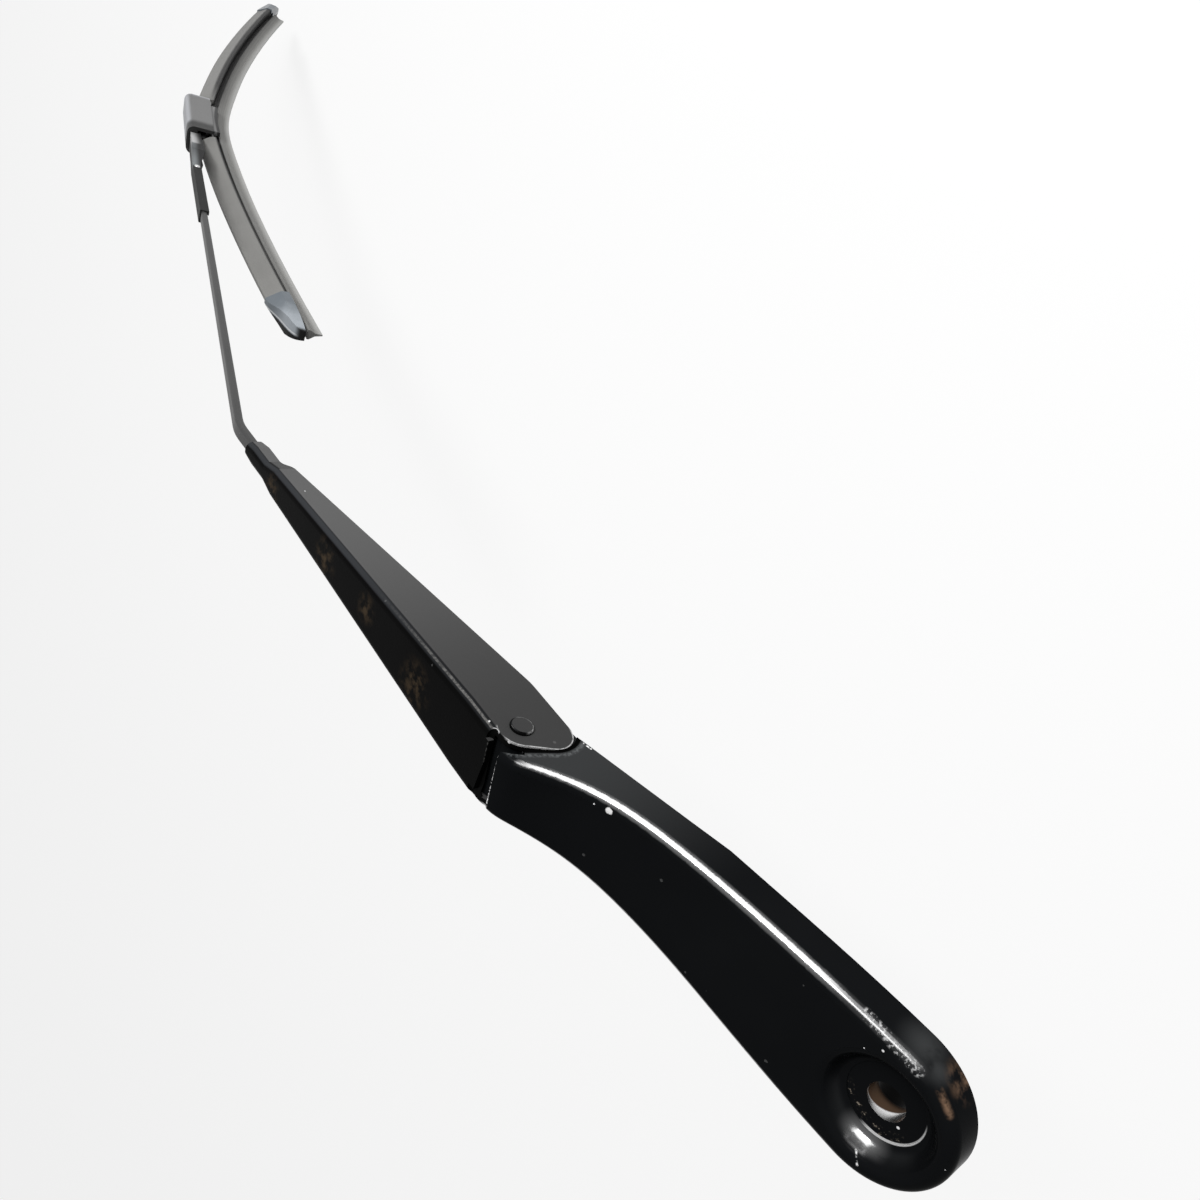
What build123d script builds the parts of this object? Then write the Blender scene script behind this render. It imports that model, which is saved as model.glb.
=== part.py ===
from build123d import *
from math import atan2, cos, degrees, hypot, radians, sin, tan
import os

os.makedirs("parts", exist_ok=True)

# Lengths are millimetres and angles degrees. Z is the spindle's axis, X runs along the arm.

# Head: spindle end, crank and knuckle
bore_r = 4.1
bore_land = 5.0
taper_r = 5.2
boss_r = 10.5
boss_bottom = -7.0
seat_z = 3.0
seat_r = 8.4
seat_step = 0.35
rim_r = 13.6
head_top = 8.0
head_bottom = -0.4
head_end_x = 1.4
head_end_r = 18.15
head_draft = 7.0
head_draft_z = -3.0
head_edge_r = 3.0
head_wall = 3.2
crank_x = 22.0
crank_rise = 15.0
nose_half = 11.7
neck_mid_half = 15.4

# Hinge, in the head's side view
hinge_x = 107.5
hinge_z = 14.2
barrel_r = 5.2
lip_back = 2.5
knuckle_drop = 8.6
cheek_drop = 13.2
rivet_r = 2.7
rivet_head_r = 3.0
rivet_head_h = 0.9
bush_wall = 0.95
running_gap = 0.05
side_gap = 0.25
ear_gap = 0.5
lift_angle = 40.0

# Channel, seen along its own slope with the hinge as its zero point
sheet = 1.7
fold_r = 2.6
channel_slope = 6.44
channel_half = 10.7
web_top = 7.9
web_start = 1.2
web_slant = 3.0
ear_r = 6.3
ear_low_r = 5.8
ear_low_x = -3.6
ear_low_z = -6.4
relief_r = 1.2
relief_reach = 2.2
parallel_x = 12.0
flank_end_x = 129.0
flank_end_half = 5.1
flank_low_x = 131.0
flank_low_z = 0.9
neck_start_x = 136.0
neck_end_x = 150.0
neck_sheet = 1.0
neck_lip = 1.4
neck_taper = 5.0
neck_bend_r = 4.0
neck_end_wall = 0.4

# Flat bar
rod_w = 5.0
rod_t = 2.8
rod_edge_r = 0.95
rod_start_x = 88.0
rod_bend_x = 164.0
rod_bend_r = 28.0
rod_pitch = 15.35
rod_yaw = -3.31
rod_len = 265.0
eye_x = 91.5
eye_r = 1.0
tongue_w = 2.4
tongue_len = 9.0

# Spring and its hook
pin_r = 1.8
anchor_back = 5.5
anchor_down = 6.0
hook_t = 3.0
hook_eye_r = 3.7
hook_bar = 2.2
hook_len = 21.0
hook_room = 0.5
hook_hole_r = 1.25
wire_r = 0.6
coil_r = 2.4
coil_pitch = 2.3
coil_start = 8.5
coil_len = 44.0
loop_r = 2.4

# Folded carrier, with lengths measured from the bar's end
carrier_grip = 69.0
carrier_over = 1.0
carrier_t = 0.6
carrier_h = 4.1
carrier_lip = 1.3
carrier_lip_len = 16.0
carrier_cap_half = 4.4
carrier_cap_h = 5.4
carrier_mid_past = 23.0
carrier_mid_half = 4.1
carrier_mid_top = 1.1
carrier_mid_h = 6.4
carrier_reach = 6.0
stud_back = 5.0
stud_r = 0.7
stud_head_r = 1.4
stud_head_h = 0.7

# Where the blade sits from the bar's end, and how it is turned
blade_past = 94.5
blade_y = 0.9
blade_z = -5.05
blade_pitch = 2.05
blade_yaw = -5.99
blade_roll = -1.71

# Blade: lengths each way from the top of its bow, and section heights below the spoiler's ridge
near_len = 224.0
far_len = 263.0
bow_span = 255.0
blade_bow = 45.6
bow_power = 1.47
lip_drop = 18.3
fin_top = 1.0
lip_half = 0.35
wedge_half = 2.5
wedge_z = -11.0
rail_w = 3.6
rail_t = 0.9
rail_in = 1.3
rail_z = -6.6
rail_stop = 5.0
near_rail_stop = 18.0
near_head_stop = 8.0
groove_gap = 0.1
base_half = 5.8
claw_z = -8.3
claw_over = 1.3
shelf_z = -4.9
head_half = 3.1

# Connector at the blade's middle and the cap over it
pin_x = -4.0
pin_z = -1.6
pin_len = 14.4
pin_end_gap = 0.15
cap_front = -25.0
cap_back = 28.5
cap_half = 8.0
cap_top = 7.8
cap_bottom = -6.2
cap_wall = 1.5
cap_edge_r = 4.0
spoiler_gap = 1.8
base_reach = 19.0
skirt_z = -11.2
tower_len = 15.0
tower_half = 4.4
tower_top = 3.2
button_w = 6.0
button_h = 2.3
button_len = 5.0
button_gap = 0.15
front_wall_z = -2.2
back_wall_z = 2.4

# End caps
near_cap_len = 26.0
far_cap_len = 29.0
far_cap_start = 258.0
end_over = 0.5
end_tip_r = 2.4
end_gap = 0.3
end_wall = 1.6

# Sizes that follow from the ones above
cheek_half = channel_half - sheet - side_gap
bush_in_r = rivet_r + running_gap
bush_r = bush_in_r + bush_wall
lip_z = head_top + crank_rise
draft_top = lip_z + 2
web_corner_r = hypot(max(relief_reach, web_slant - web_start), web_top)
pocket_r = web_corner_r + 0.35
pocket_end = lift_angle + degrees(atan2(web_top, web_start - web_slant)) + 4.0
web_under = web_top - sheet
rod_mid_z = web_under - rod_t / 2
neck_half = rod_w / 2 + neck_sheet
neck_bottom = web_under - rod_t - neck_sheet
ear_bottom = ear_low_z - ear_low_r
end_low = claw_z - 1
carrier_start = rod_len - carrier_grip
carrier_end = rod_len + carrier_over
carrier_mid_x = rod_len + carrier_mid_past
stud_x = rod_len - stud_back
blade_x = rod_len + blade_past
carrier_half = rod_w / 2 + carrier_t
carrier_top = rod_t / 2 + carrier_t
carrier_cap_top = cap_top - cap_wall - 0.3
groove_low = rail_z - rail_t / 2 - groove_gap
groove_high = rail_z + rail_t / 2 + groove_gap
rail_out = rail_in + rail_w
claw_in = rail_out + groove_gap - claw_over

# Frames: channel, its side view, bar, blade and cap
slope = radians(channel_slope)
channel_dir = Vector(cos(slope), 0, -sin(slope))
channel_plane = Plane((hinge_x, 0, hinge_z), x_dir=channel_dir, z_dir=(sin(slope), 0, cos(slope)))
channel_side = Plane((hinge_x, 0, hinge_z), x_dir=channel_dir, z_dir=(0, -1, 0))
hinge_side = Plane((hinge_x, 0, hinge_z), x_dir=(1, 0, 0), z_dir=(0, -1, 0))
bend_place = channel_plane.location * Location((rod_bend_x, 0, rod_mid_z))
bar_turn = Location((0, 0, 0), (0, 0, rod_yaw)) * Location((0, 0, 0), (0, rod_pitch, 0))
bar_dir = Plane(bend_place * bar_turn).x_dir
bar_lean = channel_plane.z_dir.dot(bar_dir) / (1 + channel_plane.x_dir.dot(bar_dir))
bar_up = channel_plane.z_dir - (channel_plane.x_dir + bar_dir) * bar_lean
rod_plane = Plane(Plane(bend_place).origin, x_dir=bar_dir, z_dir=bar_up)
rod_side = Plane(rod_plane.origin, x_dir=rod_plane.x_dir, z_dir=-rod_plane.y_dir)
blade_spot = rod_plane.location * Location((blade_x, blade_y, blade_z))
blade_turn = Location((0, 0, 0), (0, 0, blade_yaw)) * Location((0, 0, 0), (0, blade_pitch, 0))
blade_place = blade_spot * blade_turn * Location((0, 0, 0), (blade_roll, 0, 0))
blade_plane = Plane(blade_place)
cap_place = blade_place * Location((pin_x, 0, pin_z)) * Location((0, 0, 0), (0, -blade_pitch, 0))
cap_plane = Plane(cap_place)
cap_side = Plane(cap_plane.origin, x_dir=cap_plane.x_dir, z_dir=-cap_plane.y_dir)
blade_side = Plane(blade_plane.origin, x_dir=blade_plane.x_dir, z_dir=-blade_plane.y_dir)

# Hollow under the head's neck, between the spindle boss and the knuckle
with BuildPart() as head_hollow:
    with BuildSketch(Plane.XZ):
        with BuildLine():
            roof = Spline(
                (crank_x, head_top - head_wall),
                (hinge_x - 43.5, head_top + 0.07 * crank_rise - head_wall),
                (hinge_x - 22.5, head_top + 0.40 * crank_rise - head_wall),
                (hinge_x - 15, head_top + 0.66 * crank_rise - head_wall),
                tangents=[(1, 0), (1, 0.62)],
            )
            Polyline(
                roof @ 1,
                (hinge_x - 15, -30),
                (boss_r + 3.5, -30),
                (boss_r + 3.5, head_top - head_wall),
                roof @ 0,
            )
        make_face()
    extrude(amount=20, both=True)
    with BuildSketch(Plane.XY.offset(-40)):
        with BuildLine():
            flank = Spline(
                (head_end_x, head_end_r - head_wall),
                (0.5 * hinge_x, neck_mid_half - head_wall),
                (hinge_x + 6, nose_half - head_wall),
                tangents=[(1, 0), (1, -0.08)],
            )
            Line(flank @ 1, (hinge_x + 6, head_wall - nose_half))
            mirror(flank, about=Plane.XZ)
            Line((head_end_x, head_wall - head_end_r), flank @ 0)
        make_face()
    extrude(amount=90, mode=Mode.INTERSECT)

# Cast head: round spindle end, cranked neck and hinge knuckle
with BuildPart() as arm_head:
    with BuildSketch(Plane.XZ):
        with BuildLine():
            crown = Spline(
                (crank_x, head_top),
                (hinge_x - 43.5, head_top + 0.07 * crank_rise),
                (hinge_x - 22.5, head_top + 0.40 * crank_rise),
                (hinge_x - 11.5, head_top + 0.80 * crank_rise),
                (hinge_x - lip_back, lip_z),
                tangents=[(1, 0), (1, 0.0)],
            )
            Polyline(
                crown @ 1,
                (hinge_x - lip_back, hinge_z),
                (hinge_x + 3.4, hinge_z),
                (hinge_x + 3.4, hinge_z - knuckle_drop),
                (0.5 * hinge_x, head_bottom - 0.8),
                (-30, head_bottom),
                (-30, head_top),
                crown @ 0,
            )
        make_face()
        with Locations((hinge_x, hinge_z)):
            Circle(barrel_r)
    extrude(amount=25, both=True)
    for height in (head_draft_z, draft_top):
        inset = (height - head_draft_z) * tan(radians(head_draft))
        end_r = head_end_r - inset
        with BuildSketch(Plane.XY.offset(height)):
            with BuildLine():
                flank = Spline(
                    (head_end_x, end_r),
                    (0.5 * hinge_x, neck_mid_half - inset),
                    (hinge_x + 6, nose_half - inset),
                    tangents=[(1, 0), (1, -0.08)],
                )
                Line(flank @ 1, (hinge_x + 6, inset - nose_half))
                mirror(flank, about=Plane.XZ)
                ThreePointArc((head_end_x, -end_r), (head_end_x - end_r, 0), flank @ 0)
            make_face()
    loft(ruled=True, mode=Mode.INTERSECT)
    crown_faces = arm_head.faces().filter_by(lambda f: f.normal_at().Z > 0.5 and f.area > 700)
    rim_edges = crown_faces.edges().filter_by(lambda e: abs(e.center().Y) > 6 or e.center().X < -8)
    fillet(rim_edges, head_edge_r)
    add(head_hollow.part, mode=Mode.SUBTRACT)
    # Boss, nut recess, seat, straight bore and taper below it
    with Locations((0, 0, boss_bottom)):
        Cylinder(boss_r, seat_z - boss_bottom, align=(Align.CENTER, Align.CENTER, Align.MIN))
    with BuildSketch(Plane.XZ):
        with BuildLine():
            dish = Spline(
                (seat_r, seat_z + seat_step),
                ((seat_r + rim_r) / 2, (seat_z + seat_step + head_top) / 2),
                (rim_r, head_top),
                tangents=[(1, 0.1), (1, 0.05)],
            )
            Polyline(
                dish @ 1,
                (rim_r, head_top + 1),
                (0, head_top + 1),
                (0, seat_z),
                (seat_r, seat_z),
                dish @ 0,
            )
        make_face()
    revolve(axis=Axis.Z, mode=Mode.SUBTRACT)
    with BuildSketch(Plane.XZ):
        Polygon(
            (0, seat_z + 1),
            (bore_r, seat_z + 1),
            (bore_r, seat_z - bore_land),
            (taper_r, boss_bottom - 0.01),
            (0, boss_bottom - 0.01),
            align=None,
        )
    revolve(axis=Axis.Z, mode=Mode.SUBTRACT)
    # Side steps for the channel's ears
    for side in (1, -1):
        with BuildSketch(channel_side.offset(side * cheek_half)):
            Circle(ear_r + ear_gap)
            with Locations((ear_low_x, ear_low_z)):
                Circle(ear_low_r + ear_gap)
            with Locations((20, 0)):
                Rectangle(10, 2 * (ear_r + ear_gap))
            with Locations((20, -20)):
                Rectangle(10, 10)
            make_hull()
        extrude(amount=side * 20, mode=Mode.SUBTRACT)
    # Cheeks reaching down behind the ears
    with BuildSketch(hinge_side):
        Polygon(
            (barrel_r - 2, -knuckle_drop / 2),
            (0, -cheek_drop),
            (-2 * barrel_r, -cheek_drop),
            (-3 * barrel_r, -knuckle_drop),
            align=None,
        )
    extrude(amount=cheek_half, both=True)
    # Pocket that the web's edge swings into
    with BuildSketch(hinge_side):
        Circle(pocket_r)
        Circle(barrel_r, mode=Mode.SUBTRACT)
        Polygon(
            (0, 0),
            (40 * cos(radians(20)), 40 * sin(radians(20))),
            (0, 60),
            (40 * cos(radians(pocket_end)), 40 * sin(radians(pocket_end))),
            align=None,
            mode=Mode.INTERSECT,
        )
    extrude(amount=25, both=True, mode=Mode.SUBTRACT)
    # Lip cut at the slant of the web's edge
    with BuildSketch(Plane.XY.offset(hinge_z + barrel_r)):
        Polygon(
            (hinge_x - lip_back, -nose_half),
            (hinge_x + 10, -nose_half),
            (hinge_x + 10, nose_half),
            (hinge_x - lip_back - web_slant, nose_half),
            align=None,
        )
    extrude(amount=20, mode=Mode.SUBTRACT)
    # Slot for the spring's hook, bush bore and anchor pin bore
    with Locations((hinge_x - 1, 0, hinge_z + barrel_r - 0.5)):
        Box(21, hook_t + 2.4, 60, align=(Align.CENTER, Align.CENTER, Align.MAX), mode=Mode.SUBTRACT)
    with BuildSketch(hinge_side):
        Circle(bush_r)
        with Locations((-anchor_back, -anchor_down)):
            Circle(pin_r)
    extrude(amount=25, both=True, mode=Mode.SUBTRACT)
arm_head.part.label = "arm_head"
export_step(arm_head.part, "parts/arm_head.step")

# Bush pressed through the knuckle
with BuildPart() as hinge_bush:
    with BuildSketch(hinge_side):
        Circle(bush_r)
        Circle(bush_in_r, mode=Mode.SUBTRACT)
    extrude(amount=cheek_half, both=True)
hinge_bush.part.label = "hinge_bush"
export_step(hinge_bush.part, "parts/hinge_bush.step")

# Pin across the knuckle that the hook turns on
with BuildPart() as spring_anchor_pin:
    with BuildSketch(hinge_side):
        with Locations((-anchor_back, -anchor_down)):
            Circle(pin_r)
    extrude(amount=cheek_half, both=True)
spring_anchor_pin.part.label = "spring_anchor_pin"
export_step(spring_anchor_pin.part, "parts/spring_anchor_pin.step")

# Line of pull, from the anchor pin to the eye in the bar's tongue
anchor_point = hinge_side.from_local_coords((-anchor_back, -anchor_down, 0))
eye_point = channel_plane.from_local_coords((eye_x, 0, rod_mid_z))
pull = (eye_point - anchor_point).normalized()
hook_plane = Plane(anchor_point, x_dir=pull, z_dir=(0, -1, 0))
pull_up = hook_plane.y_dir
bush_x = hypot(anchor_back, anchor_down) - 0.2
bay_r = bush_r + hook_room

# Bent hook that passes under the bush
with BuildPart() as spring_hook:
    with BuildSketch(hook_plane):
        Circle(hook_eye_r)
        with Locations((bush_x, -1.2)):
            Circle(bay_r + hook_bar)
        with Locations((hook_len, 0)):
            Circle(hook_hole_r + hook_bar)
        with Locations(((bush_x + hook_len) / 2 + 2, -0.6)):
            Rectangle(hook_len - bush_x - 4, 2 * hook_bar)
        with Locations((bush_x, -1.2)):
            Circle(bay_r, mode=Mode.SUBTRACT)
        with Locations((bush_x - 1.2, 5.4)):
            Rectangle(2 * bay_r + 2.6, 13.2, mode=Mode.SUBTRACT)
        Circle(hook_eye_r)
        Circle(pin_r + running_gap, mode=Mode.SUBTRACT)
        with Locations((hook_len, 0)):
            Circle(hook_hole_r, mode=Mode.SUBTRACT)
    extrude(amount=hook_t / 2, both=True)
spring_hook.part.label = "spring_hook"
export_step(spring_hook.part, "parts/spring_hook.step")

# Space inside the folded channel
with BuildPart() as channel_space:
    with BuildSketch(channel_side):
        with BuildLine():
            Polyline(
                (-40, web_under),
                (neck_end_x + 20, web_under),
                (neck_end_x + 20, -60),
                (-40, -60),
                close=True,
            )
        make_face()
    extrude(amount=25, both=True)
    with BuildSketch(channel_plane.offset(-70)):
        with BuildLine():
            Polyline(
                (-40, channel_half - sheet),
                (parallel_x, channel_half - sheet),
                (flank_end_x, flank_end_half - sheet),
                (neck_start_x, rod_w / 2),
                (neck_end_x + 20, rod_w / 2),
                (neck_end_x + 20, -rod_w / 2),
                (neck_start_x, -rod_w / 2),
                (flank_end_x, sheet - flank_end_half),
                (parallel_x, sheet - channel_half),
                (-40, sheet - channel_half),
                close=True,
            )
        make_face()
    extrude(amount=140, mode=Mode.INTERSECT)
    roof_face = channel_space.faces().sort_by(Axis(channel_plane.origin, channel_plane.z_dir))[-1]
    side_edges = roof_face.edges().filter_by(lambda e: abs(e.center().Y) > 1)
    fillet(side_edges, fold_r - sheet)

# Folded channel with two ears, open underneath, crimped to the bar at its end
with BuildPart() as arm_channel:
    with BuildSketch(channel_side) as channel_outline:
        Circle(ear_r)
        with Locations((ear_low_x, ear_low_z)):
            Circle(ear_low_r)
        make_hull()
        with BuildLine():
            Polyline(
                (0, web_top),
                (neck_end_x, web_top),
                (neck_end_x, web_under - rod_t - neck_end_wall),
                (neck_end_x - neck_taper, neck_bottom),
                (neck_start_x - 2, neck_bottom),
                (flank_low_x, flank_low_z),
                (parallel_x + 2, ear_bottom),
                (ear_low_x, ear_bottom),
                (0, 0),
                close=True,
            )
        make_face()
        low_corners = channel_outline.vertices().filter_by(lambda v: flank_end_x < v.X < neck_end_x - 1)
        fillet(low_corners, neck_bend_r)
    extrude(amount=25, both=True)
    with BuildSketch(channel_plane.offset(-70)):
        with BuildLine():
            Polyline(
                (-40, channel_half),
                (parallel_x, channel_half),
                (flank_end_x, flank_end_half),
                (neck_start_x, neck_half),
                (neck_end_x - neck_taper, neck_half),
                (neck_end_x, rod_w / 2 + neck_end_wall),
                (neck_end_x, -rod_w / 2 - neck_end_wall),
                (neck_end_x - neck_taper, -neck_half),
                (neck_start_x, -neck_half),
                (flank_end_x, -flank_end_half),
                (parallel_x, -channel_half),
                (-40, -channel_half),
                close=True,
            )
        make_face()
    extrude(amount=140, mode=Mode.INTERSECT)
    web_face = arm_channel.faces().sort_by(Axis(channel_plane.origin, channel_plane.z_dir))[-1]
    fold_edges = web_face.edges().filter_by(lambda e: abs(e.center().Y) > 1)
    fillet(fold_edges, fold_r)
    add(channel_space.part, mode=Mode.SUBTRACT)
    # Web cut back between the ears
    with BuildSketch(channel_plane.offset(web_under - 6)):
        Polygon(
            (web_start, sheet - channel_half),
            (web_start - web_slant, channel_half - sheet),
            (web_start - 40, channel_half - sheet),
            (web_start - 40, sheet - channel_half),
            align=None,
        )
    extrude(amount=20, mode=Mode.SUBTRACT)
    # Relief in each fold, beside the web's edge
    for side in (1, -1):
        with BuildSketch(channel_side.offset(side * (channel_half - fold_r - relief_r / 2))):
            with Locations((relief_reach - relief_r, ear_r + relief_r)):
                Circle(relief_r)
                Rectangle(20, 2 * relief_r, align=(Align.MAX, Align.CENTER))
            with Locations((relief_reach - 2 * relief_r, ear_r + relief_r)):
                Rectangle(20, 10, align=(Align.MAX, Align.MIN))
        extrude(amount=side * 20, mode=Mode.SUBTRACT)
    # Lips folded under the bar
    with BuildSketch(channel_plane.offset(neck_bottom)):
        for side in (1, -1):
            with Locations((neck_start_x, side * neck_half)):
                Rectangle(
                    neck_end_x - neck_taper - neck_start_x,
                    2 * (neck_sheet + neck_lip),
                    align=(Align.MIN, Align.CENTER),
                )
        with Locations((neck_end_x - 9, 0)):
            Rectangle(40, 2 * neck_half, mode=Mode.INTERSECT)
    extrude(amount=neck_sheet)
    with BuildSketch(hinge_side):
        Circle(rivet_r)
    extrude(amount=25, both=True, mode=Mode.SUBTRACT)
arm_channel.part.label = "arm_channel"
export_step(arm_channel.part, "parts/arm_channel.step")

# Rivet through both ears, formed heads outside
with BuildPart() as hinge_rivet:
    with BuildSketch(hinge_side):
        Circle(rivet_r)
    extrude(amount=channel_half, both=True)
    for side in (1, -1):
        with BuildSketch(hinge_side.offset(side * channel_half)):
            Circle(rivet_head_r)
        extrude(amount=side * rivet_head_h)
    head_edges = hinge_rivet.edges().filter_by(lambda e: abs(e.center().Y) > channel_half + rivet_head_h / 2)
    fillet(head_edges, rivet_head_h * 0.6)
hinge_rivet.part.label = "hinge_rivet"
export_step(hinge_rivet.part, "parts/hinge_rivet.step")

# Flat bar, bent just past the channel, with a tongue and eye at its inner end
with BuildPart() as arm_rod:
    with BuildLine():
        bar_line = FilletPolyline(
            channel_plane.from_local_coords((rod_start_x, 0, rod_mid_z)),
            channel_plane.from_local_coords((rod_bend_x, 0, rod_mid_z)),
            rod_plane.from_local_coords((rod_len, 0, 0)),
            radius=rod_bend_r,
        )
    with BuildSketch(Plane(bar_line @ 0, x_dir=(0, 1, 0), z_dir=channel_plane.x_dir)):
        RectangleRounded(rod_w, rod_t, rod_edge_r)
    sweep()
    for side in (1, -1):
        with BuildSketch(channel_plane.offset(rod_mid_z - 10)):
            with Locations((rod_start_x - 1, side * (tongue_w / 2 + 5))):
                Rectangle(tongue_len + 1, 10, align=(Align.MIN, Align.CENTER))
        extrude(amount=20, mode=Mode.SUBTRACT)
    with BuildSketch(channel_side):
        with Locations((eye_x, rod_mid_z)):
            Circle(eye_r)
    extrude(amount=20, both=True, mode=Mode.SUBTRACT)
    with BuildSketch(rod_side):
        with Locations((stud_x, 0)):
            Circle(stud_r)
    extrude(amount=20, both=True, mode=Mode.SUBTRACT)
arm_rod.part.label = "arm_rod"
export_step(arm_rod.part, "parts/arm_rod.step")

# Coil spring with a loop at each end, lying on the line of pull
hook_hole = anchor_point + pull * hook_len
coil_from = hook_hole + pull * coil_start
coil_to = coil_from + pull * coil_len
with BuildPart() as tension_spring:
    with BuildLine():
        coil = Helix(coil_pitch, coil_len, coil_r, center=coil_from, direction=pull)
    with BuildSketch(Plane(coil @ 0, z_dir=coil % 0)):
        Circle(wire_r)
    sweep(path=coil, is_frenet=True)
    with BuildLine():
        near_crank = Line(coil_from, coil @ 0)
    with BuildSketch(Plane(near_crank @ 0, z_dir=near_crank % 0)):
        Circle(0.9 * wire_r)
    sweep(path=near_crank)
    with BuildLine():
        far_crank = Line(coil_to, coil @ 1)
    with BuildSketch(Plane(far_crank @ 0, z_dir=far_crank % 0)):
        Circle(0.9 * wire_r)
    sweep(path=far_crank)
    with BuildLine():
        near_wire = Line(hook_hole + pull * (2 * loop_r), coil_from)
    with BuildSketch(Plane(near_wire @ 0, z_dir=pull)):
        Circle(0.85 * wire_r)
    sweep(path=near_wire)
    with BuildLine():
        far_wire = Line(coil_to, eye_point - pull * (2 * loop_r))
    with BuildSketch(Plane(far_wire @ 0, z_dir=pull)):
        Circle(0.85 * wire_r)
    sweep(path=far_wire)
    with Locations(coil @ 0, coil @ 1, coil_from, coil_to):
        Sphere(1.08 * wire_r)
    with Locations(
        Plane(hook_hole + pull * loop_r, x_dir=pull, z_dir=pull_up),
        Plane(eye_point - pull * loop_r, x_dir=pull, z_dir=pull_up),
    ):
        Torus(loop_r, wire_r)
tension_spring.part.label = "tension_spring"
export_step(tension_spring.part, "parts/tension_spring.step")

# Cross sections of the carrier: on the bar, and where it enters the cap
carrier_bar_end = Plane(rod_plane.from_local_coords((carrier_end, 0, 0)), rod_plane.y_dir, rod_plane.x_dir)
carrier_mid = Plane(rod_plane.from_local_coords((carrier_mid_x, 0, 0)), rod_plane.y_dir, rod_plane.x_dir)
carrier_mouth = Plane(rod_plane.from_local_coords((carrier_start, 0, 0)), rod_plane.y_dir, rod_plane.x_dir)
cap_mouth = Plane(cap_plane.from_local_coords((cap_front - 1, 0, 0)), cap_plane.y_dir, cap_plane.x_dir)

# Space inside the carrier
with BuildPart() as carrier_space:
    with BuildSketch(carrier_mouth.offset(-5)):
        with Locations((0, rod_t / 2)):
            Rectangle(rod_w, 20, align=(Align.CENTER, Align.MAX))
    extrude(amount=carrier_end - carrier_start + 5)
    with BuildSketch(carrier_bar_end):
        with Locations((0, rod_t / 2)):
            Rectangle(rod_w, 20, align=(Align.CENTER, Align.MAX))
    with BuildSketch(carrier_mid):
        with Locations((0, carrier_mid_top - carrier_t)):
            Rectangle(2 * (carrier_mid_half - carrier_t), 20, align=(Align.CENTER, Align.MAX))
    with BuildSketch(cap_mouth):
        with Locations((0, carrier_cap_top - carrier_t)):
            Rectangle(2 * (carrier_cap_half - carrier_t), 20, align=(Align.CENTER, Align.MAX))
    loft(ruled=True)
    with BuildSketch(cap_mouth):
        with Locations((0, carrier_cap_top - carrier_t)):
            Rectangle(2 * (carrier_cap_half - carrier_t), 20, align=(Align.CENTER, Align.MAX))
    extrude(amount=carrier_reach + 5)

# Folded carrier: crimped over the bar, widening a little, then reaching into the cap
with BuildPart() as tip_fitting:
    with BuildSketch(carrier_mouth):
        with Locations((0, carrier_top)):
            Rectangle(2 * carrier_half, carrier_h, align=(Align.CENTER, Align.MAX))
    extrude(amount=carrier_end - carrier_start)
    with BuildSketch(carrier_bar_end):
        with Locations((0, carrier_top)):
            Rectangle(2 * carrier_half, carrier_h, align=(Align.CENTER, Align.MAX))
    with BuildSketch(carrier_mid):
        with Locations((0, carrier_mid_top)):
            Rectangle(2 * carrier_mid_half, carrier_mid_h, align=(Align.CENTER, Align.MAX))
    with BuildSketch(cap_mouth):
        with Locations((0, carrier_cap_top)):
            Rectangle(2 * carrier_cap_half, carrier_cap_h, align=(Align.CENTER, Align.MAX))
    loft(ruled=True)
    with BuildSketch(cap_mouth):
        with Locations((0, carrier_cap_top)):
            Rectangle(2 * carrier_cap_half, carrier_cap_h, align=(Align.CENTER, Align.MAX))
    extrude(amount=carrier_reach)
    add(carrier_space.part, mode=Mode.SUBTRACT)
    # Lips crimped under the bar at the mouth
    for side in (1, -1):
        with BuildSketch(rod_plane.offset(-rod_t / 2)):
            with Locations((carrier_start, side * (rod_w / 2 - carrier_lip / 2))):
                Rectangle(carrier_lip_len, carrier_lip, align=(Align.MIN, Align.CENTER))
        extrude(amount=carrier_top - carrier_h + rod_t / 2)
    with BuildSketch(rod_side):
        with Locations((stud_x, 0)):
            Circle(stud_r)
    extrude(amount=20, both=True, mode=Mode.SUBTRACT)
tip_fitting.part.label = "tip_fitting"
export_step(tip_fitting.part, "parts/tip_fitting.step")

# Rivet across carrier and bar, with a domed head on each flank
with BuildPart() as fitting_rivet:
    with BuildSketch(rod_side):
        with Locations((stud_x, 0)):
            Circle(stud_r)
    extrude(amount=carrier_half, both=True)
    for side in (1, -1):
        with BuildSketch(rod_side.offset(side * carrier_half)):
            with Locations((stud_x, 0)):
                Circle(stud_head_r)
        extrude(amount=side * stud_head_h)
    stud_faces = fitting_rivet.faces().sort_by(Axis(rod_plane.origin, rod_plane.y_dir))
    fillet(stud_faces[0].edges() + stud_faces[-1].edges(), stud_head_h * 0.8)
fitting_rivet.part.label = "fitting_rivet"
export_step(fitting_rivet.part, "parts/fitting_rivet.step")

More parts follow.
